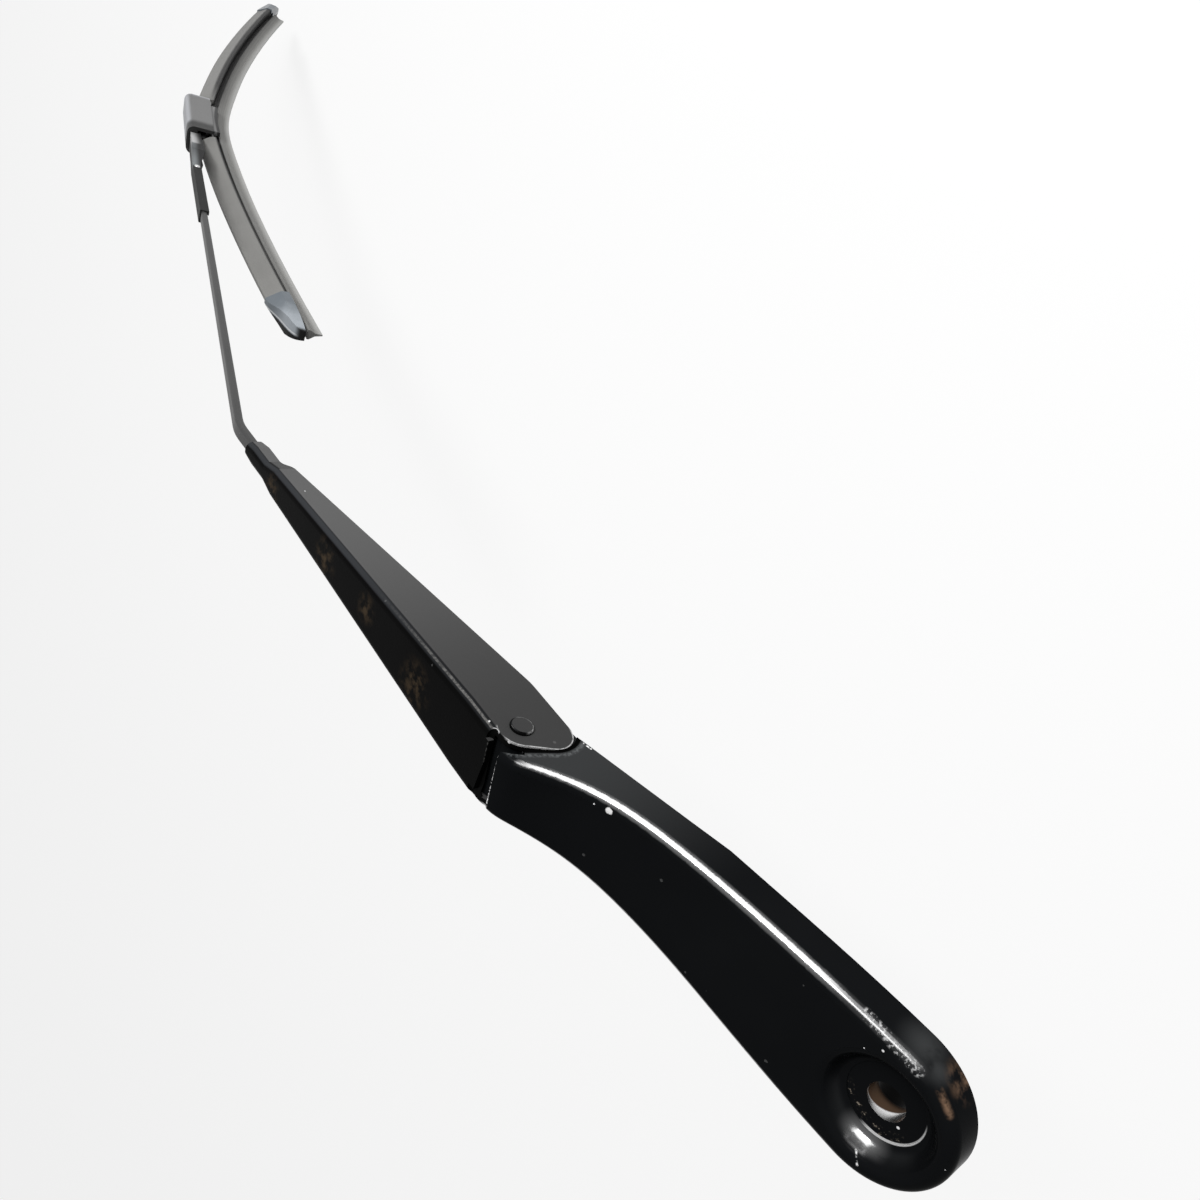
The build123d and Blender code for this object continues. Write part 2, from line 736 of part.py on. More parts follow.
# Plastic cap over the carrier's end, open below, with room for the tower and the button
with BuildPart() as adapter_cap:
    with BuildSketch(cap_side):
        with Locations(((cap_front + cap_back) / 2, (cap_top + cap_bottom) / 2)):
            Rectangle(cap_back - cap_front, cap_top - cap_bottom)
    extrude(amount=cap_half, both=True)
    tall_edges = adapter_cap.edges().filter_by(Axis((0, 0, 0), cap_plane.z_dir))
    far_edges = tall_edges.filter_by(lambda e: cap_plane.to_local_coords(e.center()).X > 0)
    fillet(far_edges, cap_half * 0.6)
    lid = adapter_cap.faces().sort_by(Axis(cap_plane.origin, cap_plane.z_dir))[-1]
    lid_edges = lid.edges().filter_by(lambda e: cap_plane.to_local_coords(e.center()).X > cap_front + 1)
    fillet(lid_edges, cap_edge_r)
    with BuildSketch(cap_plane.offset(cap_top - cap_wall)):
        with Locations((cap_front + cap_wall, 0)):
            Rectangle(
                cap_back - cap_front - 2 * cap_wall - 2,
                2 * (cap_half - cap_wall),
                align=(Align.MIN, Align.CENTER),
            )
    extrude(amount=-40, mode=Mode.SUBTRACT)
    with BuildSketch(cap_mouth):
        with Locations((0, carrier_cap_top + 0.3)):
            Rectangle(2 * carrier_cap_half + 0.4, carrier_cap_h + 0.6, align=(Align.CENTER, Align.MAX))
        with Locations((0, front_wall_z - 0.01)):
            Rectangle(
                button_w + 2 * button_gap,
                button_h + 2 * button_gap,
                align=(Align.CENTER, Align.MIN),
            )
        with Locations((0, front_wall_z)):
            Rectangle(2 * (base_half + 0.4), 20, align=(Align.CENTER, Align.MAX))
    extrude(amount=cap_wall + 2, mode=Mode.SUBTRACT)
    with BuildSketch(cap_mouth):
        with Locations((0, back_wall_z)):
            Rectangle(2 * (base_half + 0.4), 20, align=(Align.CENTER, Align.MAX))
    extrude(amount=cap_back - cap_front + 2, mode=Mode.SUBTRACT)
    with BuildSketch(cap_side):
        Circle(pin_r + running_gap)
    extrude(amount=pin_len / 2 + pin_end_gap, both=True, mode=Mode.SUBTRACT)
adapter_cap.part.label = "adapter_cap"
export_step(adapter_cap.part, "parts/adapter_cap.step")

# Catch pressed inwards to let the blade go
with BuildPart() as release_button:
    with BuildSketch(cap_mouth):
        with Locations((0, front_wall_z + button_gap)):
            Rectangle(button_w, button_h, align=(Align.CENTER, Align.MIN))
    extrude(amount=button_len)
release_button.part.label = "release_button"
export_step(release_button.part, "parts/release_button.step")

# Bow of the free blade, and the upright plane at its near end
bow_xs = [near_len * i / 5 for i in range(-5, 0)] + [far_len * i / 5 for i in range(0, 6)]
with BuildLine(blade_side) as bow:
    Spline([(x, -blade_bow * abs(x / bow_span) ** bow_power) for x in bow_xs])
bow_path = bow.line
bow_plane = Plane(bow_path @ 0, x_dir=blade_plane.y_dir, z_dir=bow_path % 0)

# Slope of the bow at each end cap, and the frame each cap is drawn in
near_cap_x = near_cap_len - near_len
near_cap_z = -blade_bow * abs(near_cap_x / bow_span) ** bow_power
near_rise = blade_bow * bow_power / bow_span * ((near_len - near_cap_len / 2) / bow_span) ** (bow_power - 1)
near_out = (blade_plane.z_dir * -near_rise - blade_plane.x_dir).normalized()
near_cap_origin = blade_plane.from_local_coords((near_cap_x, 0, near_cap_z))
near_cap_plane = Plane(near_cap_origin, x_dir=near_out, z_dir=blade_plane.y_dir.cross(near_out))
near_tip = blade_plane.from_local_coords((-near_len, 0, -blade_bow * (near_len / bow_span) ** bow_power))
near_reach = (near_tip - near_cap_origin).dot(near_out)
near_hood_len = near_reach + end_wall
far_cap_z = -blade_bow * (far_cap_start / bow_span) ** bow_power
far_rise = blade_bow * bow_power / bow_span * (far_cap_start / bow_span) ** (bow_power - 1)
far_out = (blade_plane.x_dir - blade_plane.z_dir * far_rise).normalized()
far_cap_origin = blade_plane.from_local_coords((far_cap_start, 0, far_cap_z))
far_cap_plane = Plane(far_cap_origin, x_dir=far_out, z_dir=far_out.cross(blade_plane.y_dir))

# Wiping rubber: lip, neck and a head with a groove on each side
with BuildPart() as wiper_rubber:
    with BuildSketch(bow_plane):
        with BuildLine():
            Polyline(
                (0, -lip_drop),
                (lip_half, -lip_drop),
                (lip_half + 0.4, wedge_z - 3.6),
                (wedge_half, wedge_z - 0.9),
                (wedge_half, wedge_z),
                (0.8, wedge_z + 0.4),
                (0.8, claw_z + 0.2),
                (head_half, claw_z + 0.4),
                (head_half, groove_low),
                (rail_in - groove_gap, groove_low),
                (rail_in - groove_gap, groove_high),
                (head_half, groove_high),
                (head_half, shelf_z - 0.2),
                (0, shelf_z - 0.2),
            )
            mirror(about=Plane.YZ)
        make_face()
    sweep(path=bow_path)
    # Head cut short inside the near end cap
    with BuildSketch(near_cap_plane.offset(end_low - end_gap)):
        with Locations((near_reach - near_head_stop, 0)):
            Rectangle(40, 40, align=(Align.MIN, Align.CENTER))
    extrude(amount=40, mode=Mode.SUBTRACT)
wiper_rubber.part.label = "wiper_rubber"
export_step(wiper_rubber.part, "parts/wiper_rubber.step")

# Spring-steel strips in the rubber's grooves
rail_near_x = near_rail_stop - near_len
rail_near = Plane(blade_plane.from_local_coords((rail_near_x, 0, 0)), z_dir=blade_plane.x_dir)
rail_far = Plane(blade_plane.from_local_coords((far_len - rail_stop, 0, 0)), z_dir=blade_plane.x_dir)
with BuildPart() as spine_rail_left:
    with BuildSketch(bow_plane):
        with Locations((rail_in + rail_w / 2, rail_z)):
            Rectangle(rail_w, rail_t)
    sweep(path=bow_path)
    split(bisect_by=rail_near, keep=Keep.TOP)
    split(bisect_by=rail_far, keep=Keep.BOTTOM)
spine_rail_left.part.label = "spine_rail_left"
export_step(spine_rail_left.part, "parts/spine_rail_left.step")

with BuildPart() as spine_rail_right:
    with BuildSketch(bow_plane):
        with Locations((-rail_in - rail_w / 2, rail_z)):
            Rectangle(rail_w, rail_t)
    sweep(path=bow_path)
    split(bisect_by=rail_near, keep=Keep.TOP)
    split(bisect_by=rail_far, keep=Keep.BOTTOM)
spine_rail_right.part.label = "spine_rail_right"
export_step(spine_rail_right.part, "parts/spine_rail_right.step")

# Spoiler strip: claws round the rails and a fin above, cut into two halves
with BuildPart() as spoiler_strip:
    with BuildSketch(bow_plane):
        with BuildLine():
            fin = Spline((-base_half, rail_z), (-4.4, -3.8), (-2.2, -0.8), (-1.4, fin_top))
            Polyline(
                fin @ 1,
                (0.2, fin_top),
                (2.2, -1.8),
                (base_half, shelf_z - 0.4),
                (base_half, claw_z),
                (claw_in, claw_z),
                (claw_in, groove_low),
                (rail_out + groove_gap, groove_low),
                (rail_out + groove_gap, groove_high),
                (head_half + 0.2, groove_high),
                (head_half + 0.2, shelf_z),
                (-head_half - 0.2, shelf_z),
                (-head_half - 0.2, groove_high),
                (-rail_out - groove_gap, groove_high),
                (-rail_out - groove_gap, groove_low),
                (-claw_in, groove_low),
                (-claw_in, claw_z),
                (-base_half, claw_z),
                fin @ 0,
            )
        make_face()
    sweep(path=bow_path)

near_gap = blade_plane.from_local_coords((pin_x + cap_front - spoiler_gap, 0, 0))
far_gap = blade_plane.from_local_coords((pin_x + cap_back + spoiler_gap, 0, 0))
with BuildPart() as spoiler_near:
    add(spoiler_strip.part)
    split(bisect_by=Plane(near_gap, z_dir=blade_plane.x_dir), keep=Keep.BOTTOM)
    split(bisect_by=Plane(near_cap_origin, z_dir=near_out), keep=Keep.BOTTOM)
spoiler_near.part.label = "spoiler_near"
export_step(spoiler_near.part, "parts/spoiler_near.step")

with BuildPart() as spoiler_far:
    add(spoiler_strip.part)
    split(bisect_by=Plane(far_gap, z_dir=blade_plane.x_dir), keep=Keep.TOP)
    split(bisect_by=Plane(far_cap_origin, z_dir=far_out), keep=Keep.BOTTOM)
spoiler_far.part.label = "spoiler_far"
export_step(spoiler_far.part, "parts/spoiler_far.step")

# Connector base: clamps the rails and carries the tower inside the cap
base_near = Plane(blade_plane.from_local_coords((pin_x - base_reach, 0, 0)), z_dir=blade_plane.x_dir)
base_far = Plane(blade_plane.from_local_coords((pin_x + base_reach, 0, 0)), z_dir=blade_plane.x_dir)
with BuildPart() as connector_base:
    with BuildSketch(bow_plane):
        with BuildLine():
            Polyline(
                (0, shelf_z),
                (head_half + 0.2, shelf_z),
                (head_half + 0.2, groove_high),
                (rail_out + groove_gap, groove_high),
                (rail_out + groove_gap, groove_low),
                (claw_in, groove_low),
                (claw_in, skirt_z),
                (base_half + 0.2, skirt_z),
                (base_half + 0.2, shelf_z + 0.6),
                (base_half - 0.6, shelf_z + 1.4),
                (0, shelf_z + 1.4),
            )
            mirror(about=Plane.YZ)
        make_face()
    sweep(path=bow_path)
    split(bisect_by=base_near, keep=Keep.TOP)
    split(bisect_by=base_far, keep=Keep.BOTTOM)
    with BuildSketch(blade_side):
        with BuildLine():
            Polyline(
                (pin_x - tower_len / 2, shelf_z + 0.5),
                (pin_x + tower_len / 2, shelf_z + 0.5),
                (pin_x + tower_top, pin_z + tower_top),
                (pin_x - tower_top, pin_z + tower_top),
                close=True,
            )
        make_face()
    extrude(amount=tower_half, both=True)
    with BuildSketch(blade_side):
        with Locations((pin_x, pin_z)):
            Circle(pin_r)
    extrude(amount=20, both=True, mode=Mode.SUBTRACT)
connector_base.part.label = "connector_base"
export_step(connector_base.part, "parts/connector_base.step")

# Pin pressed in the tower, turning in the cap's walls
with BuildPart() as connector_pin:
    with BuildSketch(cap_side):
        Circle(pin_r)
    extrude(amount=pin_len / 2, both=True)
connector_pin.part.label = "connector_pin"
export_step(connector_pin.part, "parts/connector_pin.step")

# Cross section of the end caps, a little larger than the strip's
cap_profile = [
    (base_half + end_over, end_low),
    (base_half + end_over, shelf_z + end_over),
    (0.2 + end_over, fin_top + end_over),
    (-1.4 - end_over, fin_top + end_over),
    (-base_half - end_over, rail_z + 2 * end_over),
    (-base_half - end_over, end_low),
]

# End caps: leaf-shaped hoods over the ends of the strip, the rails and the rubber's head
with BuildPart() as end_cap_near:
    with BuildSketch(Plane(near_cap_plane.origin, near_cap_plane.x_dir, -near_cap_plane.y_dir)):
        with BuildLine():
            hood = Spline(
                (0, fin_top + end_over),
                (0.45 * near_hood_len, -1.6),
                (near_hood_len, claw_z),
                tangents=[(1, 0), (0.5, -1)],
            )
            Polyline(hood @ 1, (near_hood_len, end_low), (0, end_low), hood @ 0)
        make_face()
    extrude(amount=15, both=True)
    with BuildSketch(near_cap_plane.offset(-30)):
        Ellipse(near_hood_len + end_tip_r, base_half + end_over)
    extrude(amount=60, mode=Mode.INTERSECT)
    with BuildSketch(Plane(near_cap_plane.origin, -near_cap_plane.y_dir, -near_cap_plane.x_dir)):
        Polygon(*cap_profile, align=None)
    extrude(amount=-near_hood_len - end_tip_r, mode=Mode.INTERSECT)
    with BuildSketch(Plane(near_cap_plane.origin, near_cap_plane.y_dir, near_cap_plane.x_dir)):
        with Locations((0, rail_z)):
            Rectangle(2 * (rail_out + end_gap), rail_t + 2 * end_gap)
    extrude(amount=near_reach - near_rail_stop - rail_z * near_rise + 2 * end_gap, mode=Mode.SUBTRACT)
    with BuildSketch(Plane(near_cap_plane.origin, near_cap_plane.y_dir, near_cap_plane.x_dir)):
        with Locations((0, shelf_z - 0.2 + end_gap)):
            Rectangle(2 * (head_half + end_gap), 20, align=(Align.CENTER, Align.MAX))
    extrude(amount=near_reach - near_head_stop + end_gap, mode=Mode.SUBTRACT)
end_cap_near.part.label = "end_cap_near"
export_step(end_cap_near.part, "parts/end_cap_near.step")

with BuildPart() as end_cap_far:
    with BuildSketch(Plane(far_cap_plane.origin, far_cap_plane.x_dir, -far_cap_plane.y_dir)):
        with BuildLine():
            hood = Spline(
                (0, fin_top + end_over),
                (0.5 * far_cap_len, -1.2),
                (far_cap_len, claw_z),
                tangents=[(1, 0), (0.6, -1)],
            )
            Polyline(hood @ 1, (far_cap_len, end_low), (0, end_low), hood @ 0)
        make_face()
    extrude(amount=15, both=True)
    with BuildSketch(far_cap_plane.offset(-30)):
        with Locations((far_cap_len / 4, 0)):
            Rectangle(far_cap_len / 2, 2 * (base_half + end_over))
        with Locations((far_cap_len - end_tip_r, 0)):
            Circle(end_tip_r)
        make_hull()
    extrude(amount=60, mode=Mode.INTERSECT)
    with BuildSketch(Plane(far_cap_plane.origin, far_cap_plane.y_dir, far_cap_plane.x_dir)):
        Polygon(*cap_profile, align=None)
    extrude(amount=far_cap_len, mode=Mode.INTERSECT)
    with BuildSketch(Plane(far_cap_plane.origin, far_cap_plane.y_dir, far_cap_plane.x_dir)):
        with Locations((0, rail_z)):
            Rectangle(2 * (rail_out + end_gap), rail_t + 2 * end_gap)
        with Locations((0, shelf_z - 0.2 + end_gap)):
            Rectangle(2 * (head_half + end_gap), 20, align=(Align.CENTER, Align.MAX))
    extrude(amount=far_len - far_cap_start + end_wall, mode=Mode.SUBTRACT)
end_cap_far.part.label = "end_cap_far"
export_step(end_cap_far.part, "parts/end_cap_far.step")
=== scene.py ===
import bpy
from mathutils import Matrix, Vector

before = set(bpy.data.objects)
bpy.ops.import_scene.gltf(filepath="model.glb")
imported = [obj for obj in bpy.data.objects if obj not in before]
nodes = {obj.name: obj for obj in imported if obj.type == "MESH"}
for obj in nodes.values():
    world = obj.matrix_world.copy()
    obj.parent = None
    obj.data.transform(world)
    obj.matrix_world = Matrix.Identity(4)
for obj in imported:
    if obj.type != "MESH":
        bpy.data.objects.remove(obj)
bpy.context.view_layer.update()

print("frame loaded:", len(nodes), "nodes")


# short helpers for shader trees

def newMaterial(name):
    mat = bpy.data.materials.new(name)
    mat.use_nodes = True
    mat.node_tree.nodes.clear()
    return mat, mat.node_tree


def addNode(tree, kind, **settings):
    node = tree.nodes.new(kind)
    for key, value in settings.items():
        setattr(node, key, value)
    return node


def feed(tree, value, socket):
    if isinstance(value, (int, float, tuple)):
        socket.default_value = value
    else:
        tree.links.new(value, socket)


def mathNode(tree, operation, first, second=0.0, third=0.0):
    node = addNode(tree, "ShaderNodeMath", operation=operation)
    for socket, value in zip(node.inputs, (first, second, third)):
        feed(tree, value, socket)
    return node.outputs[0]


def vectorNode(tree, operation, first, second):
    node = addNode(tree, "ShaderNodeVectorMath", operation=operation)
    feed(tree, first, node.inputs[0])
    feed(tree, second, node.inputs[1])
    return node.outputs["Value" if operation in ("DOT_PRODUCT", "LENGTH", "DISTANCE") else "Vector"]


def scaled(tree, vector, share):
    node = addNode(tree, "ShaderNodeVectorMath", operation="SCALE")
    feed(tree, vector, node.inputs[0])
    feed(tree, share, node.inputs["Scale"])
    return node.outputs["Vector"]


def joinXyz(tree, **places):
    node = addNode(tree, "ShaderNodeCombineXYZ")
    for axis, value in places.items():
        feed(tree, value, node.inputs[axis])
    return node.outputs[0]


def splitXyz(tree, coords):
    node = addNode(tree, "ShaderNodeSeparateXYZ")
    feed(tree, coords, node.inputs[0])
    return node.outputs


def fade(tree, value, low, high, start=0.0, end=1.0):
    node = addNode(tree, "ShaderNodeMapRange", interpolation_type="SMOOTHSTEP")
    for socket, number in zip(node.inputs[:5], (value, low, high, start, end)):
        feed(tree, number, socket)
    return node.outputs[0]


def noiseNode(tree, coords, scale, detail=3.0, rough=0.5):
    node = addNode(tree, "ShaderNodeTexNoise")
    feed(tree, coords, node.inputs["Vector"])
    for name, number in (("Scale", scale), ("Detail", detail), ("Roughness", rough)):
        feed(tree, number, node.inputs[name])
    return node.outputs["Fac"]


def blend(tree, fac, first, second):
    node = addNode(tree, "ShaderNodeMix", data_type="RGBA")
    for place, value in ((0, fac), (6, first), (7, second)):
        feed(tree, value, node.inputs[place])
    return node.outputs[2]


def bump(tree, height, strength, distance):
    node = addNode(tree, "ShaderNodeBump")
    node.inputs["Strength"].default_value = strength
    node.inputs["Distance"].default_value = distance
    feed(tree, height, node.inputs["Height"])
    return node.outputs["Normal"]


def principled(tree, values):
    shader = addNode(tree, "ShaderNodeBsdfPrincipled")
    out = addNode(tree, "ShaderNodeOutputMaterial")
    feed(tree, shader.outputs["BSDF"], out.inputs["Surface"])
    for name, value in values.items():
        shader.inputs[name].default_value = value
    return shader


def times(tree, *values):
    product = values[0]
    for value in values[1:]:
        product = mathNode(tree, "MULTIPLY", product, value)
    return product


def most(tree, *values):
    highest = values[0]
    for value in values[1:]:
        highest = mathNode(tree, "MAXIMUM", highest, value)
    return highest


def without(tree, value):
    return mathNode(tree, "SUBTRACT", 1.0, value)


def magnitude(tree, value):
    return mathNode(tree, "ABSOLUTE", value)


def within(tree, share):
    return mathNode(tree, "MINIMUM", mathNode(tree, "MAXIMUM", share, 0.0), 1.0)


def band(tree, value, low, high, soft):
    rise = fade(tree, value, low - soft, low + soft)
    return times(tree, rise, fade(tree, value, high + soft, high - soft))


def surface(tree):
    return addNode(tree, "ShaderNodeTexCoord").outputs


def shade(value, tint=(1.0, 1.0, 1.0)):
    return (value * tint[0], value * tint[1], value * tint[2], 1.0)


def millimetres(*place):
    return tuple(0.001 * number for number in place)


# node groups that several finishes use

def newGroup(name, inputs, outputs):
    group = bpy.data.node_groups.new(name, "ShaderNodeTree")
    for way, sockets in (("INPUT", inputs), ("OUTPUT", outputs)):
        for socketName, kind in sockets.items():
            group.interface.new_socket(name=socketName, in_out=way, socket_type="NodeSocket" + kind)
    return group, addNode(group, "NodeGroupInput").outputs, addNode(group, "NodeGroupOutput").inputs


grainShape = {"detail": 4.0, "cloudScale": 38.0}


def makeGrainGroup():
    group, given, put = newGroup("fineGrain", {"Vector": "Vector", "Scale": "Float"},
                                 {"Height": "Float", "Cloud": "Float"})
    feed(group, noiseNode(group, given["Vector"], given["Scale"], grainShape["detail"]), put["Height"])
    feed(group, noiseNode(group, given["Vector"], grainShape["cloudScale"]), put["Cloud"])
    return group


speckShape = {"largest": 0.16}


def makeSpeckGroup():
    group, given, put = newGroup("dustSpecks", {"Vector": "Vector", "Scale": "Float", "Amount": "Float"},
                                 {"Mask": "Float"})
    cells = addNode(group, "ShaderNodeTexVoronoi", feature="F1")
    feed(group, given["Vector"], cells.inputs["Vector"])
    feed(group, given["Scale"], cells.inputs["Scale"])
    pick = addNode(group, "ShaderNodeSeparateColor")
    feed(group, cells.outputs["Color"], pick.inputs["Color"])
    chosen = mathNode(group, "LESS_THAN", pick.outputs["Red"], given["Amount"])
    reach = times(group, pick.outputs["Green"], speckShape["largest"])
    inside = mathNode(group, "LESS_THAN", cells.outputs["Distance"], reach)
    feed(group, times(group, chosen, inside), put["Mask"])
    return group


chipShape = {"noise": (800.0, 2.0), "ragged": (0.9, 0.55), "core": 0.7}


def makeChipGroup():
    group, given, put = newGroup("paintChip", {"Vector": "Vector", "Centre": "Vector", "Radius": "Float"},
                                 {"Mask": "Float"})
    noise = noiseNode(group, given["Vector"], *chipShape["noise"])
    away = vectorNode(group, "DISTANCE", given["Vector"], given["Centre"])
    ragged = mathNode(group, "MULTIPLY_ADD", noise, *chipShape["ragged"])
    reach = times(group, given["Radius"], ragged)
    inner = times(group, reach, chipShape["core"])
    feed(group, fade(group, away, reach, inner), put["Mask"])
    return group


def makeLineGroup():
    group, given, put = newGroup("wornLine", {"Vector": "Vector", "Start": "Vector", "End": "Vector",
                                              "Radius": "Float", "Core": "Float"}, {"Mask": "Float"})
    run = vectorNode(group, "SUBTRACT", given["End"], given["Start"])
    local = vectorNode(group, "SUBTRACT", given["Vector"], given["Start"])
    share = mathNode(group, "DIVIDE", vectorNode(group, "DOT_PRODUCT", local, run),
                     vectorNode(group, "DOT_PRODUCT", run, run))
    nearest = scaled(group, run, within(group, share))
    away = vectorNode(group, "DISTANCE", local, nearest)
    inner = times(group, given["Radius"], given["Core"])
    feed(group, fade(group, away, given["Radius"], inner), put["Mask"])
    return group


# outline of the channel's ears in the channel's own slope: two circles and the band between them
earShape = {
    "hinge": millimetres(107.5, 0.0, 14.2),
    "along": (0.99369, 0.0, -0.11216),
    "up": (0.11216, 0.0, 0.99369),
    "low": millimetres(-3.6, 0.0, -6.4),
    "radius": 0.0063,
    "shrink": 0.0005,
    "right": (0.872, 0.0, -0.49),
}


def makeEarGroup():
    group, given, put = newGroup("earOutline", {"Vector": "Vector"},
                                 {"Away": "Float", "Side": "Float", "Along": "Float", "Up": "Float"})
    local = vectorNode(group, "SUBTRACT", given["Vector"], earShape["hinge"])
    along = vectorNode(group, "DOT_PRODUCT", local, earShape["along"])
    up = vectorNode(group, "DOT_PRODUCT", local, earShape["up"])
    flat = joinXyz(group, X=along, Z=up)
    reach = Vector(earShape["low"]).length_squared
    share = mathNode(group, "DIVIDE", vectorNode(group, "DOT_PRODUCT", flat, earShape["low"]), reach)
    share = within(group, share)
    away = vectorNode(group, "DISTANCE", flat, scaled(group, earShape["low"], share))
    radius = mathNode(group, "MULTIPLY_ADD", share, -earShape["shrink"], earShape["radius"])
    feed(group, mathNode(group, "SUBTRACT", away, radius), put["Away"])
    feed(group, vectorNode(group, "DOT_PRODUCT", flat, earShape["right"]), put["Side"])
    feed(group, along, put["Along"])
    feed(group, up, put["Up"])
    return group


def makeFacingGroup():
    group, given, put = newGroup("facingBand", {"Normal": "Vector", "Direction": "Vector", "Low": "Float",
                                                "High": "Float"}, {"Mask": "Float"})
    turned = vectorNode(group, "DOT_PRODUCT", given["Normal"], given["Direction"])
    feed(group, fade(group, turned, given["Low"], given["High"]), put["Mask"])
    return group


# height above or below the blade's bow, and the place along and across it
bladeFrame = {
    "origin": millimetres(602.417, -19.08, -137.51),
    "along": (0.90234, -0.159194, -0.400549),
    "across": (0.138804, 0.987114, -0.079625),
    "up": (0.408063, 0.016251, 0.912809),
    "bow": 0.0456,
    "span": 0.255,
    "power": 1.47,
}


def makeBladeGroup():
    group, given, put = newGroup("bladeSection", {"Vector": "Vector"},
                                 {"Along": "Float", "Height": "Float", "Across": "Float"})
    local = vectorNode(group, "SUBTRACT", given["Vector"], bladeFrame["origin"])
    along = vectorNode(group, "DOT_PRODUCT", local, bladeFrame["along"])
    height = vectorNode(group, "DOT_PRODUCT", local, bladeFrame["up"])
    share = mathNode(group, "DIVIDE", magnitude(group, along), bladeFrame["span"])
    drop = mathNode(group, "POWER", share, bladeFrame["power"])
    feed(group, along, put["Along"])
    feed(group, vectorNode(group, "DOT_PRODUCT", local, bladeFrame["across"]), put["Across"])
    feed(group, mathNode(group, "MULTIPLY_ADD", drop, bladeFrame["bow"], height), put["Height"])
    return group


grainGroup = makeGrainGroup()
speckGroup = makeSpeckGroup()
chipGroup = makeChipGroup()
lineGroup = makeLineGroup()
earGroup = makeEarGroup()
facingGroup = makeFacingGroup()
bladeGroup = makeBladeGroup()
print("shared node groups made")


# masks and closing steps that the finishes share

def useGroup(tree, group, **values):
    node = addNode(tree, "ShaderNodeGroup")
    node.node_tree = group
    for name, value in values.items():
        feed(tree, value, node.inputs[name])
    return node.outputs


def specksOn(tree, coords, scale, amount):
    return useGroup(tree, speckGroup, Vector=coords, Scale=scale, Amount=amount)["Mask"]


def facing(tree, normal, direction, low, high):
    return useGroup(tree, facingGroup, Normal=normal, Direction=direction, Low=low, High=high)["Mask"]


def chipMask(tree, coords, chips):
    mask = 0.0
    for centre, radius in chips:
        spot = useGroup(tree, chipGroup, Vector=coords, Centre=millimetres(*centre), Radius=0.001 * radius)
        mask = most(tree, mask, spot["Mask"])
    return mask


def lineMask(tree, coords, lines, core=0.4):
    mask = 0.0
    for start, end, radius in lines:
        line = useGroup(tree, lineGroup, Vector=coords, Start=millimetres(*start), End=millimetres(*end),
                        Radius=0.001 * radius, Core=core)
        mask = most(tree, mask, line["Mask"])
    return mask


patchNoise = (320.0, 3.0, 0.6)


def patchMask(tree, coords, patches, low, high):
    mask = 0.0
    for centre, radius in patches:
        away = vectorNode(tree, "DISTANCE", coords, millimetres(*centre))
        mask = most(tree, mask, fade(tree, away, 0.001 * radius, 0.0))
    return times(tree, mask, fade(tree, noiseNode(tree, coords, *patchNoise), low, high))


def cloudyRough(tree, grain, spread, least):
    return mathNode(tree, "MULTIPLY_ADD", grain["Cloud"], spread, least)


def closeFinish(tree, shader, look, colour, rough, height):
    feed(tree, colour, shader.inputs["Base Color"])
    feed(tree, rough, shader.inputs["Roughness"])
    feed(tree, bump(tree, height, *look["bump"]), shader.inputs["Normal"])


def closePlain(tree, shader, look, colour, grain):
    closeFinish(tree, shader, look, colour, cloudyRough(tree, grain, *look["rough"]), grain["Height"])


# gloss black paint of the cast head, chipped at its ridge and worn bare in the bore
# masks are given by the limits they fade between, bands by limits and softness; lengths are metres

